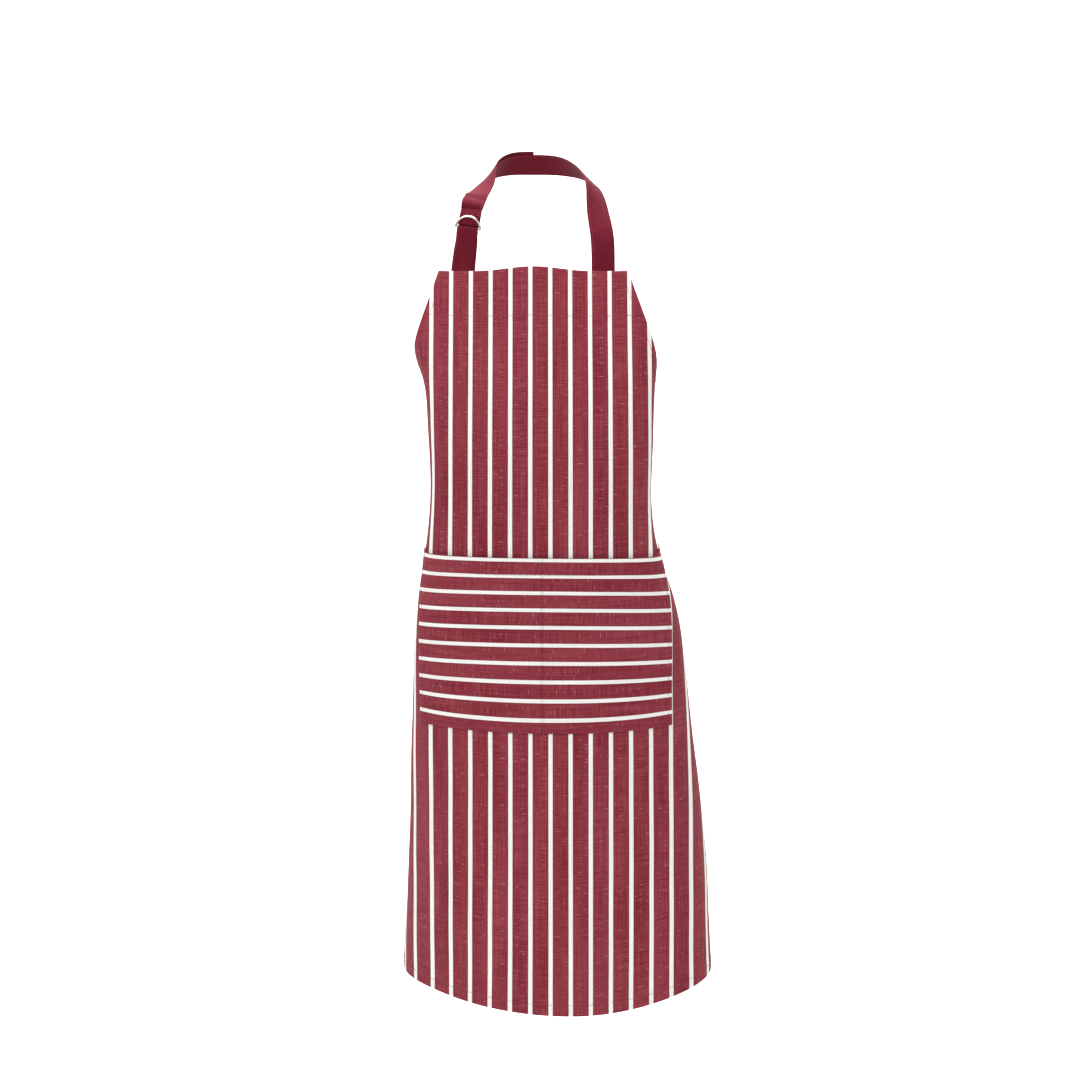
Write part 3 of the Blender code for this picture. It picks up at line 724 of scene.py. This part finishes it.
def row_of_stitches(line, facings):
    """Stitches spaced evenly along a line of points."""
    steps = np.linalg.norm(np.diff(line, axis=0), axis=1)
    run = np.concatenate(((0.0,), np.cumsum(steps)))
    count = max(int(run[-1] / STITCH_PITCH), 1)
    centres = (np.arange(count) + 0.5) * run[-1] / count

    def sample(values, where):
        return np.stack([np.interp(where, run, values[:, k]) for k in range(3)], 1)

    middle = sample(line, centres)
    ahead = unit(sample(line, centres + 0.0008) - sample(line, centres - 0.0008))
    facing = unit(sample(facings, centres))
    facing = unit(facing - ahead * np.sum(facing * ahead, 1, keepdims=True))
    return [(m, a, f, STITCH_LENGTH) for m, a, f in zip(middle, ahead, facing)]


def cloth_line(u, drop, face, out):
    """Stitches on one face of the cloth: face gives its offset, out is 1 in front and -1 behind."""
    sunk = STITCH_RADIUS * 0.45
    line = drape(u, drop, face + out * sunk)
    outer = drape(u, drop, face + out * (sunk + 0.001))
    return row_of_stitches(line, outer - line)


def panel_line(u, drop):
    """A line of lock stitches through the body panel, seen on both faces."""
    front, back = panel_relief(u, drop)
    return cloth_line(u, drop, front, 1.0) + cloth_line(u, drop, back, -1.0)


def pocket_line(u, drop):
    """A line of stitches on the pocket's face."""
    front, _ = pocket_relief(u, drop)
    return cloth_line(u, drop, front, 1.0)


def make_hem_stitches():
    """The stitch lines of the body panel's hems."""
    fine = 0.001

    def finish(name, placed):
        piece = stitches(name, placed)
        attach(piece, "apron")
        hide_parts(name)

    def across(drop):
        half = float(side_edge(drop)) - 0.0015
        u = np.arange(-half, half, fine)
        return panel_line(u, np.full(len(u), drop))

    finish("bib_hem_thread", across(BIB_HEM))
    finish("bottom_hem_thread", across(PANEL_LENGTH - BOTTOM_HEM))
    arm = np.arange(0.002, CORNER_DROP - 0.001, fine)
    low = np.arange(CORNER_DROP + 0.001, PANEL_LENGTH - 0.002, fine)
    for side, word in ((-1, "left"), (1, "right")):
        finish(f"armhole_thread_{word}", panel_line(side * (side_edge(arm) - EDGE_INSET), arm))
        finish(f"side_hem_thread_{word}", panel_line(side * (side_edge(low) - EDGE_INSET), low))


def make_pocket_stitches():
    """The pocket's mouth hem and its sewn-down sides and bottom, each in two halves like the cloth."""
    middle = (POCKET_LEFT + POCKET_RIGHT) / 2
    for word, edge in (("left", POCKET_LEFT), ("right", POCKET_RIGHT)):
        inward = 1 if word == "left" else -1
        reach = abs(middle - edge)
        run = np.arange(0.0, reach, 0.001)
        mouth_u = edge + inward * np.clip(run, 0.008, None)
        mouth = pocket_line(mouth_u, pocket_top(mouth_u) + POCKET_HEM)
        seam_u = edge + inward * POCKET_INSET
        top = float(pocket_top(np.array([seam_u]))[0])
        down = np.arange(top + 0.001, POCKET_BOTTOM - POCKET_INSET, 0.001)
        side = pocket_line(np.full(len(down), seam_u), down)
        low_u = edge + inward * np.arange(POCKET_INSET, reach, 0.001)
        low = pocket_line(low_u, np.full(len(low_u), POCKET_BOTTOM - POCKET_INSET))
        for line, placed in (("mouth", mouth), ("seam", side + low)):
            name = f"pocket_{line}_stitches_{word}"
            piece = stitches(name, placed)
            blend_pocket(piece, word)
            if word == "left":
                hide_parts("pocket_mouth_thread" if "mouth" in name else "pocket_seam_thread")


def bartack_stitches(u, drop, wide, tall, relief, out=1.0):
    """A dense bar of zigzag stitches across its short side: out is 1 in front and -1 behind."""
    placed = []
    length = max(wide, tall)
    count = int(length / BARTACK_PITCH)
    lengthways = np.array((1.0, 0.0) if wide > tall else (0.0, 1.0))
    reach = lengthways[::-1] * (min(wide, tall) / 2 * 0.95)
    for k in range(count):
        middle = (u, drop) + lengthways * ((k + 0.5) / count * length - length / 2)
        half = reach + lengthways * (BARTACK_PITCH * 0.35 * (1 if k % 2 else -1))
        ends_u, ends_d = np.stack((middle - half, middle + half), 1)
        face = relief(ends_u, ends_d)[0] + out * STITCH_RADIUS * 0.8
        low = drape(ends_u, ends_d, face)
        high = drape(ends_u, ends_d, face + out * 0.001)
        ahead = low[1] - low[0]
        placed.append((low.mean(0), unit(ahead), unit(high[0] - low[0]), float(np.linalg.norm(ahead))))
    return placed


def strap_back(u, drop):
    """The inner face of the strap's sewn end."""
    return np.full(len(u), -(BEHIND_PANEL + STRAP_THICKNESS)), None


def tab_back(u, drop):
    """The inner face of the ring tab's two sewn layers."""
    return np.full(len(u), -(BEHIND_PANEL + 2 * TAB_THICKNESS + GAP)), None


def make_bartacks():
    """Bars of stitches at the strap ends, the tie ends and the pocket's mouth."""
    tie_u = PANEL_HALF_WIDTH - EDGE_INSET / 2
    strap_drop = STRAP_SEWN - BARTACK_FROM_END
    tie_drop = CORNER_DROP + TIE_WIDTH / 2
    mouth_long = BARTACK_LENGTH / 3
    for word, strap_u, sewn_back, tie_side, mouth_u in (
        ("left", STRAP_LEFT_U + TAB_SKEW, tab_back, -tie_u, POCKET_LEFT + POCKET_INSET),
        ("right", STRAP_RIGHT_U, strap_back, tie_u, POCKET_RIGHT - POCKET_INSET),
    ):
        top = float(pocket_top(np.array([mouth_u]))[0]) + mouth_long / 2 + 0.001
        strap = bartack_stitches(strap_u, strap_drop, BARTACK_LENGTH, BARTACK_WIDTH, sewn_back, -1.0)
        tie = bartack_stitches(tie_side, tie_drop, BARTACK_WIDTH, BARTACK_LENGTH, panel_relief)
        mouth = bartack_stitches(mouth_u, top, BARTACK_WIDTH, mouth_long, pocket_relief)
        bars = (("strap", "apron", strap), ("tie", "apron", tie), ("pocket", "pocket", mouth))
        for kind, body, placed in bars:
            name = f"{kind}_bartack_{word}"
            piece = stitches(name, placed)
            if body == "pocket":
                blend_pocket(piece, word)
            else:
                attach(piece, body)
            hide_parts(name)


# ------------------------ tape pieces


def smooth(points, cells):
    """A smooth path of this many cells between each two of the points (Catmull-Rom)."""
    ends = [points[0] * 2 - points[1], *points, points[-1] * 2 - points[-2]]
    path = []
    for a, b, c, d in zip(ends, ends[1:], ends[2:], ends[3:]):
        for k in range(cells):
            t = k / cells
            curve = (2 * a - 5 * b + 4 * c - d) * t * t + (3 * b - a - 3 * c + d) * t**3
            path.append(0.5 * (2 * b + (c - a) * t + curve))
    return path + [points[-1]]


# Tape's cross-section, from one edge to the other: share of the width, share of the half thickness
PROFILE_RIGHT = (0.2, 0.385, 0.415, 0.44, 0.475, 0.494)
PROFILE_ACROSS = (-0.5, *(-a for a in reversed(PROFILE_RIGHT)), 0.0, *PROFILE_RIGHT)
PROFILE_HEIGHT = (0.0, 0.62, 0.96, 1.0, 0.78, 1.0, 1.06, 1.08, 1.06, 1.0, 0.9, 1.0, 0.96, 0.62)
TAPE_PROFILE = tuple(zip(PROFILE_ACROSS, PROFILE_HEIGHT))
GROOVE = PROFILE_ACROSS[4]  # the hollow along the stitch line


def tape(name, path, facings, widths, thickness):
    """Tape along a path, with folded edges and a groove under its stitch line."""
    outline = list(TAPE_PROFILE) + [(-a, -b) for a, b in TAPE_PROFILE]
    here = np.array([tuple(p) for p in path])
    ahead = unit(np.gradient(here, axis=0))
    facing = np.array([tuple(f) for f in facings])
    across = unit(np.cross(ahead, facing))
    face = unit(np.cross(across, ahead))
    run = np.concatenate(((0.0,), np.cumsum(np.linalg.norm(np.diff(here, axis=0), axis=1))))
    wide = np.array(widths)
    points, flat = [], []
    for a, b in outline:
        points.append(here + across * (a * wide)[:, None] + face * (b * thickness / 2))
        flat.append(np.stack((a * wide, run), 1))
    points, flat = np.stack(points, 1), np.stack(flat, 1)
    rows, columns = points.shape[:2]
    index = np.arange(rows * columns).reshape(rows, columns)
    nxt = np.roll(index, -1, 1)
    faces = np.stack((index[:-1], index[1:], nxt[1:], nxt[:-1]), -1).reshape(-1, 4).tolist()
    faces += [index[0].tolist(), index[-1][::-1].tolist()]
    obj = new_piece(name, points.reshape(-1, 3), faces, flat.reshape(-1, 2), TAPE)
    seams = []
    for out in (1.0, -1.0):
        line = here + across * (GROOVE * wide)[:, None] + face * (out * thickness / 2 * 0.92)
        seams += row_of_stitches(line, face * out)
    return obj, seams


def ring_frame():
    """The D-rings' place: their bars lie along its X, the loaded strap runs up its Y, Z is the front."""
    foot = at(STRAP_LEFT_U, 0.0)
    up = Vector((0.170, 0.200, 0.966)).normalized()
    front = facing_out(STRAP_LEFT_U, 0.0)
    front.x *= 0.6
    front = (front - up * front.dot(up)).normalized()
    bars = foot + up * RINGS_OVER_BIB
    across = up.cross(front)
    turned = Matrix((across, up, front)).transposed().to_4x4()
    return Matrix.Translation(bars) @ turned


RINGS = ring_frame()
RINGS_TURNED = RINGS.to_3x3()


def ring_point(across, up, front):
    """A point given in the rings' own frame."""
    return RINGS @ Vector((across, up, front))


def neck_path():
    """The strap from its right sewn end, round the neck, down to the rings: points and facings."""
    behind = -(BEHIND_PANEL + STRAP_THICKNESS / 2)
    worn = (
        ((0.0812, -0.0975, -0.0821), (0.20, -0.93, 0.30)),
        ((0.0766, -0.0830, -0.0537), (0.32, -0.80, 0.50)),
        ((0.0700, -0.0560, -0.0200), (0.72, -0.30, 0.62)),
        ((0.0530, -0.0260, -0.0065), (0.74, 0.25, 0.62)),
        ((0.0300, -0.0050, -0.0010), (0.45, 0.72, 0.52)),
        ((0.0000, 0.0007, 0.0000), (0.0, 0.88, 0.48)),
        ((-0.0290, -0.0050, -0.0010), (-0.45, 0.72, 0.52)),
        ((-0.0480, -0.0260, -0.0075), (-0.74, 0.25, 0.62)),
        ((-0.0600, -0.0540, -0.0240), (-0.48, -0.60, 0.64)),
    )
    front = RINGS_TURNED.col[2]
    stations = []
    for drop in (STRAP_SEWN, 0.002):
        stations.append((at(STRAP_RIGHT_U, drop, behind), facing_out(STRAP_RIGHT_U, drop)))
    stations += [(Vector(place), Vector(facing)) for place, facing in worn]
    stations.append((ring_point(0.0, 0.034, LOAD_FRONT), Vector((-0.12, -0.92, 0.36))))
    stations += [(ring_point(0.0, up, LOAD_FRONT), front) for up in (0.018, BIGHT_UP)]
    points, facings = zip(*stations)
    return refined(list(points), [facing.normalized() for facing in facings], 3)


def bight():
    """The strap's turn round the back ring, below its arc: points and facings."""
    middle = (LOAD_FRONT + TAIL_FRONT) / 2
    radius = (TAIL_FRONT - LOAD_FRONT) / 2
    points, facings = [], []
    for k in range(1, BIGHT_CELLS):
        angle = math.pi * k / BIGHT_CELLS
        out = (0.0, -math.sin(angle), -math.cos(angle))
        points.append(ring_point(0.0, BIGHT_UP + radius * out[1], middle + radius * out[2]))
        facings.append(RINGS_TURNED @ -Vector(out))
    return points, facings


def tail(points, facings):
    """The strap's free end, back up between the rings and over the loaded strap."""
    front = RINGS_TURNED.col[2]
    path = [ring_point(0.0, up, TAIL_FRONT) for up in (BIGHT_UP, 0.012, 0.0175)]
    turned = [-front] * len(path)
    length = 0.0
    for here, lower, facing in zip(points[-8::-1], points[-7::-1], facings[-8::-1]):
        length += (here - lower).length
        ahead = (here - lower).normalized()
        across = ahead.cross(facing).normalized()
        slide = TAIL_SLIDE * min(length / TAIL_SLIDE_LENGTH, 1.0)
        path.append(here + facing * TAIL_OVER_LOAD + across * slide)
        turned.append(-facing)
        if length > TAIL_LENGTH:
            break
    return path, turned


def refined(path, facings, cells):
    """A path and its facings with this many cells between each two points."""
    return smooth(path, cells), [facing.normalized() for facing in smooth(facings, cells)]


def fold_with_bib(piece):
    """Tape that is sewn to the bib: its transform is baked into its mesh, and it is not bent here."""
    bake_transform(piece)


def sew(name, placed, fold):
    """The stitches of a tape piece, put through the same step as the tape."""
    piece = stitches(name, placed)
    fold(piece)


def make_neck_strap():
    """The long neck strap: sewn on at the right, round the neck, and doubled back at the rings."""
    down, down_facings = neck_path()
    turn, turn_facings = bight()
    back, back_facings = tail(down, down_facings)
    path, facings = refined(down + turn + back, down_facings + turn_facings + back_facings, 3)
    rings = ring_point(0.0, RING_RADIUS / 2, 0.0)
    widths = []
    for point in path:
        far = min(max(((point - rings).length - EASED_REACH) / EASED_FADE, 0.0), 1.0)
        widths.append(STRAP_EASED_WIDTH + (STRAP_WIDTH - STRAP_EASED_WIDTH) * far)
    strap, seams = tape("neck_strap_tape", path, facings, widths, STRAP_DRAWN)
    fold_with_bib(strap)
    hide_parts("neck_strap")
    sew("neck_strap_stitches", seams, fold_with_bib)


def make_ring_tab():
    """The short strap that holds both rings: folded over their bars, its two ends sewn to the bib."""
    pitch = TAB_THICKNESS + GAP
    near = BEHIND_PANEL + TAB_THICKNESS / 2
    reach = BAR_OFFSET + WIRE_RADIUS + GAP + TAB_THICKNESS / 2
    turn_bottom = BIGHT_UP - (TAIL_FRONT - LOAD_FRONT) / 2 - STRAP_THICKNESS / 2
    top = max(WIRE_RADIUS + GAP + TAB_THICKNESS / 2, turn_bottom - TAB_THICKNESS / 2 - TAB_CLEAR)

    def sewn(drop, layer):
        return at(STRAP_LEFT_U + layer * TAB_SKEW, drop, -(near + layer * pitch))

    path = [sewn(STRAP_SEWN, 1), sewn(0.012, 1), sewn(0.002, 1)]
    over_bars = (
        (TAB_SKEW * 0.7, -0.030, -pitch),
        (TAB_SKEW * 0.35, -0.014, -pitch),
        (0.0, -0.006, -reach * 0.75),
        (0.0, 0.0, -reach),
        (0.0, top * 0.72, -reach * 0.80),
        (0.0, top, -reach * 0.42),
        (0.0, top, reach * 0.42),
        (0.0, top * 0.72, reach * 0.80),
        (0.0, 0.0, reach),
        (0.0, -0.006, reach * 0.75),
        (0.0, -0.014, 0.0),
        (0.0, -0.030, 0.0),
    )
    path += [ring_point(*place) for place in over_bars]
    path += [sewn(0.002, 0), sewn(0.012, 0), sewn(STRAP_SEWN, 0)]
    sewn_side = at(STRAP_LEFT_U + 0.01, 0.0) - at(STRAP_LEFT_U - 0.01, 0.0)
    facings = []
    for k in range(len(path)):
        ahead = (path[min(k + 1, len(path) - 1)] - path[max(k - 1, 0)]).normalized()
        side = sewn_side if k < 3 or k > len(path) - 4 else RINGS_TURNED.col[0]
        facings.append(side.cross(ahead).normalized())
    path, facings = refined(path, facings, 4)
    band, seams = tape("ring_tab_tape", path, facings, [TAB_WIDTH] * len(path), TAB_THICKNESS)
    fold_with_bib(band)
    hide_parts("ring_tab")
    sew("ring_tab_stitches", seams, fold_with_bib)


def make_ring(name, node, body, bar_front, lean):
    """A D-ring of round wire, a straight bar and a half-circle arc, butt-welded in the bar."""
    corner = math.radians(9)
    outline = []
    for k in range(41):
        angle = corner + (math.pi - 2 * corner) * k / 40
        outline.append((RING_RADIUS * math.cos(angle), RING_RADIUS * math.sin(angle)))
    bend = [(-RING_RADIUS * 0.972, 0.0011), (-RING_RADIUS * 0.94, 0.0004), (-RING_RADIUS * 0.88, 0.0)]
    outline += bend
    outline += [(RING_RADIUS * x, 0.0) for x in (-0.6, -0.3, -0.035, -0.018, 0.0, 0.018, 0.035, 0.3, 0.6)]
    outline += [(-x, y) for x, y in reversed(bend)]
    count = len(outline)
    centre = np.array(outline)
    ahead = unit(np.roll(centre, -1, 0) - np.roll(centre, 1, 0))
    sides = 18
    points, flat, run = [], [], 0.0
    for k in range(count):
        weld = 1.10 if abs(centre[k][0]) < RING_RADIUS * 0.02 and centre[k][1] < 0.0001 else 1.0
        for m in range(sides):
            turn = 2 * math.pi * m / sides
            side = WIRE_RADIUS * weld * math.cos(turn)
            lift = WIRE_RADIUS * weld * math.sin(turn)
            across = centre[k][0] - ahead[k][1] * side
            up = centre[k][1] + ahead[k][0] * side
            leant_up = up * math.cos(lean) - lift * math.sin(lean)
            leant_front = bar_front + up * math.sin(lean) + lift * math.cos(lean)
            points.append(tuple(ring_point(across, leant_up, leant_front)))
            flat.append((WIRE_RADIUS * turn, run))
        run += float(np.linalg.norm(centre[(k + 1) % count] - centre[k]))
    index = np.arange(count * sides).reshape(count, sides)
    after, beside = np.roll(index, -1, 0), np.roll(index, -1, 1)
    faces = np.stack((index, beside, np.roll(after, -1, 1), after), -1).reshape(-1, 4)
    ring = new_piece(name, np.array(points), faces, np.array(flat), NICKEL)
    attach(ring, body)
    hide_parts(node)


def tie_start(side):
    """Where a tie leaves the panel's side corner: its point, its way out and its facing."""
    drop = CORNER_DROP + TIE_WIDTH / 2 + 0.001
    u = side * PANEL_HALF_WIDTH
    edge = (at(u, drop - TIE_WIDTH / 2) - at(u, drop + TIE_WIDTH / 2)).normalized()
    facing = facing_out(u, drop)
    out = edge.cross(facing).normalized() * side
    return at(u, drop) + out * LOOSE_GAP, out, facing


def make_tie(side, word):
    """A waist tie: sewn behind the corner hem, a quarter turn, and the hanging length."""
    start, out, facing = tie_start(side)
    down = Vector((0.0, 0.0, -1.0))
    behind = -facing * (CLOTH / 2 + HEM_EXTRA + TIE_THICKNESS / 2 + 0.0002)
    path = [start - out * back + behind * share for back, share in zip(TIE_SEWN, (1.0, 1.0, 0.9))]
    path.append(start + out * TIE_STUB + behind * 0.3)
    middle = start + out * TIE_STUB + down * TIE_BEND
    for k in range(1, 7):
        angle = math.pi / 2 * k / 6
        path.append(middle + out * TIE_BEND * math.sin(angle) - down * TIE_BEND * math.cos(angle))
    elbow = path[-1]
    straight = TIE_LENGTH - TIE_STUB - TIE_BEND * math.pi / 2
    for k in range(1, 25):
        t = k / 24
        wave = (facing * math.sin(5.2 * t + side) + out * 0.3 * math.sin(4.0 * t)) * TIE_SWAY * t
        path.append(elbow + down * straight * t + wave)
    facings = []
    for k in range(len(path)):
        twist = 0.16 * math.sin(3.4 * k / len(path) + 0.5 * side) * max(0.0, (k - 10) / len(path))
        facings.append((facing * math.cos(twist) + out * math.sin(twist)) * side)
    path, facings = refined(path, facings, 4)
    name = f"waist_tie_{word}"
    band, seams = tape(name + "_tape", path, facings, [TIE_WIDTH] * len(path), TIE_THICKNESS)
    tip, before, facing_end = (np.array(tuple(v)) for v in (path[-1], path[-2], facings[-1]))
    across = unit(np.cross(tip - before, facing_end))
    middle_point = tip + unit(before - tip) * TIE_END_HEM
    spread = np.linspace(-0.45, 0.45, 30)[:, None] * TIE_WIDTH
    for face in (facing_end, -facing_end):
        line = middle_point + across * spread + face * TIE_THICKNESS / 2
        seams += row_of_stitches(line, np.repeat(face[None], 30, 0))

    def twist_from_hem(piece):
        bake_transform(piece)

    twist_from_hem(band)
    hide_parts(name)
    sew(name + "_stitches", seams, twist_from_hem)


def make_label():
    """The blank care label, its top edge caught in the side hem."""
    columns, rows = 17, 25
    u, drop = np.meshgrid(np.linspace(0, 1, columns), np.linspace(0, 1, rows))
    curl = 0.0012 * np.sin(math.pi * drop) ** 2 + 0.0020 * u**2 * drop
    cloth_u = -PANEL_HALF_WIDTH + LABEL_INSET + LABEL_WIDTH * u
    cloth_drop = LABEL_DROP + LABEL_LENGTH * drop
    base = -LABEL_BEHIND - curl
    outer = draped(cloth_u, cloth_drop, base)
    inner = draped(cloth_u, cloth_drop, base - LABEL_THICKNESS)
    flat = np.stack((u * LABEL_WIDTH, drop * LABEL_LENGTH), -1)
    label = closed_sheet("care_label_satin", outer, inner, flat, SATIN, np.zeros(u.shape))
    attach(label, "apron")
    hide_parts("care_label")
    top_u = np.linspace(-PANEL_HALF_WIDTH + LABEL_INSET, -PANEL_HALF_WIDTH + LABEL_INSET + LABEL_WIDTH, 32)
    top_drop = np.full(len(top_u), LABEL_DROP + 0.002)
    face = np.full(len(top_u), -(LABEL_BEHIND + LABEL_THICKNESS))
    piece = stitches("care_label_stitches", cloth_line(top_u, top_drop, face, -1.0))
    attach(piece, "apron")


# ------------------------ stage


def make_stage():
    """A pale floor that turns up into a backdrop, soft studio lights, and the camera."""
    profile = [(FLOOR_FRONT, 0.0), (BACKDROP_Y, 0.0)]
    for k in range(1, 13):
        angle = math.pi / 2 * k / 12
        out, up = BACKDROP_TURN * math.sin(angle), BACKDROP_TURN * (1 - math.cos(angle))
        profile.append((BACKDROP_Y + out, up))
    profile.append((BACKDROP_Y + BACKDROP_TURN, BACKDROP_TOP))
    sides = (-FLOOR_HALF_WIDTH, FLOOR_HALF_WIDTH)
    points = [(x, y, FLOOR_Z + z) for y, z in profile for x in sides]
    faces = [(2 * k, 2 * k + 1, 2 * k + 3, 2 * k + 2) for k in range(len(profile) - 1)]
    flat = [(x, y) for y, z in profile for x in sides]
    paper = new_piece("studio_floor", np.array(points), faces, np.array(flat), studio_paper("studio_paper"))

    world = bpy.data.worlds.new("studio")
    world.use_nodes = True
    sky = world.node_tree.nodes["Background"]
    sky.inputs["Color"].default_value = (1.0, 1.0, 1.0, 1.0)
    sky.inputs["Strength"].default_value = WORLD_STRENGTH
    bpy.context.scene.world = world
    bpy.context.scene.view_settings.view_transform = "Standard"

    target = Vector((0.0, -0.15, -0.50))
    for name, place, size, power in (
        ("key", (-1.0, -2.1, 1.5), 1.6, 46.0),
        ("fill", (1.7, -2.4, 1.0), 2.0, 14.0),
        ("back", (0.0, 1.2, 2.8), 3.0, 400.0),
    ):
        lamp = bpy.data.lights.new(name, "AREA")
        lamp.size = size
        lamp.energy = power
        holder = placed_object(name, lamp)
        holder.location = place
        aim = target if name != "back" else Vector((0.0, 3.6, -0.9))
        holder.rotation_euler = (aim - Vector(place)).to_track_quat("-Z", "Y").to_euler()

    lens = bpy.data.cameras.new("camera")
    lens.lens = CAMERA_LENS
    lens.sensor_width = SENSOR_WIDTH
    lens.clip_end = 60.0
    camera = placed_object("camera", lens)
    camera.location = CAMERA_AT
    camera.rotation_euler = (math.pi / 2 - CAMERA_TILT, 0.0, 0.0)
    bpy.context.scene.camera = camera


def main():
    make_stage()
    panel = make_panel()
    pocket = make_pocket()
    make_hem_stitches()
    make_pocket_stitches()
    make_bartacks()
    make_label()
    make_neck_strap()
    make_ring_tab()
    make_ring("front_ring_wire", "d_ring_front", "ring_front", BAR_OFFSET, FRONT_RING_LEAN)
    make_ring("back_ring_wire", "d_ring_back", "ring_back", -BAR_OFFSET, 0.0)
    make_tie(-1, "left")
    make_tie(1, "right")


main()
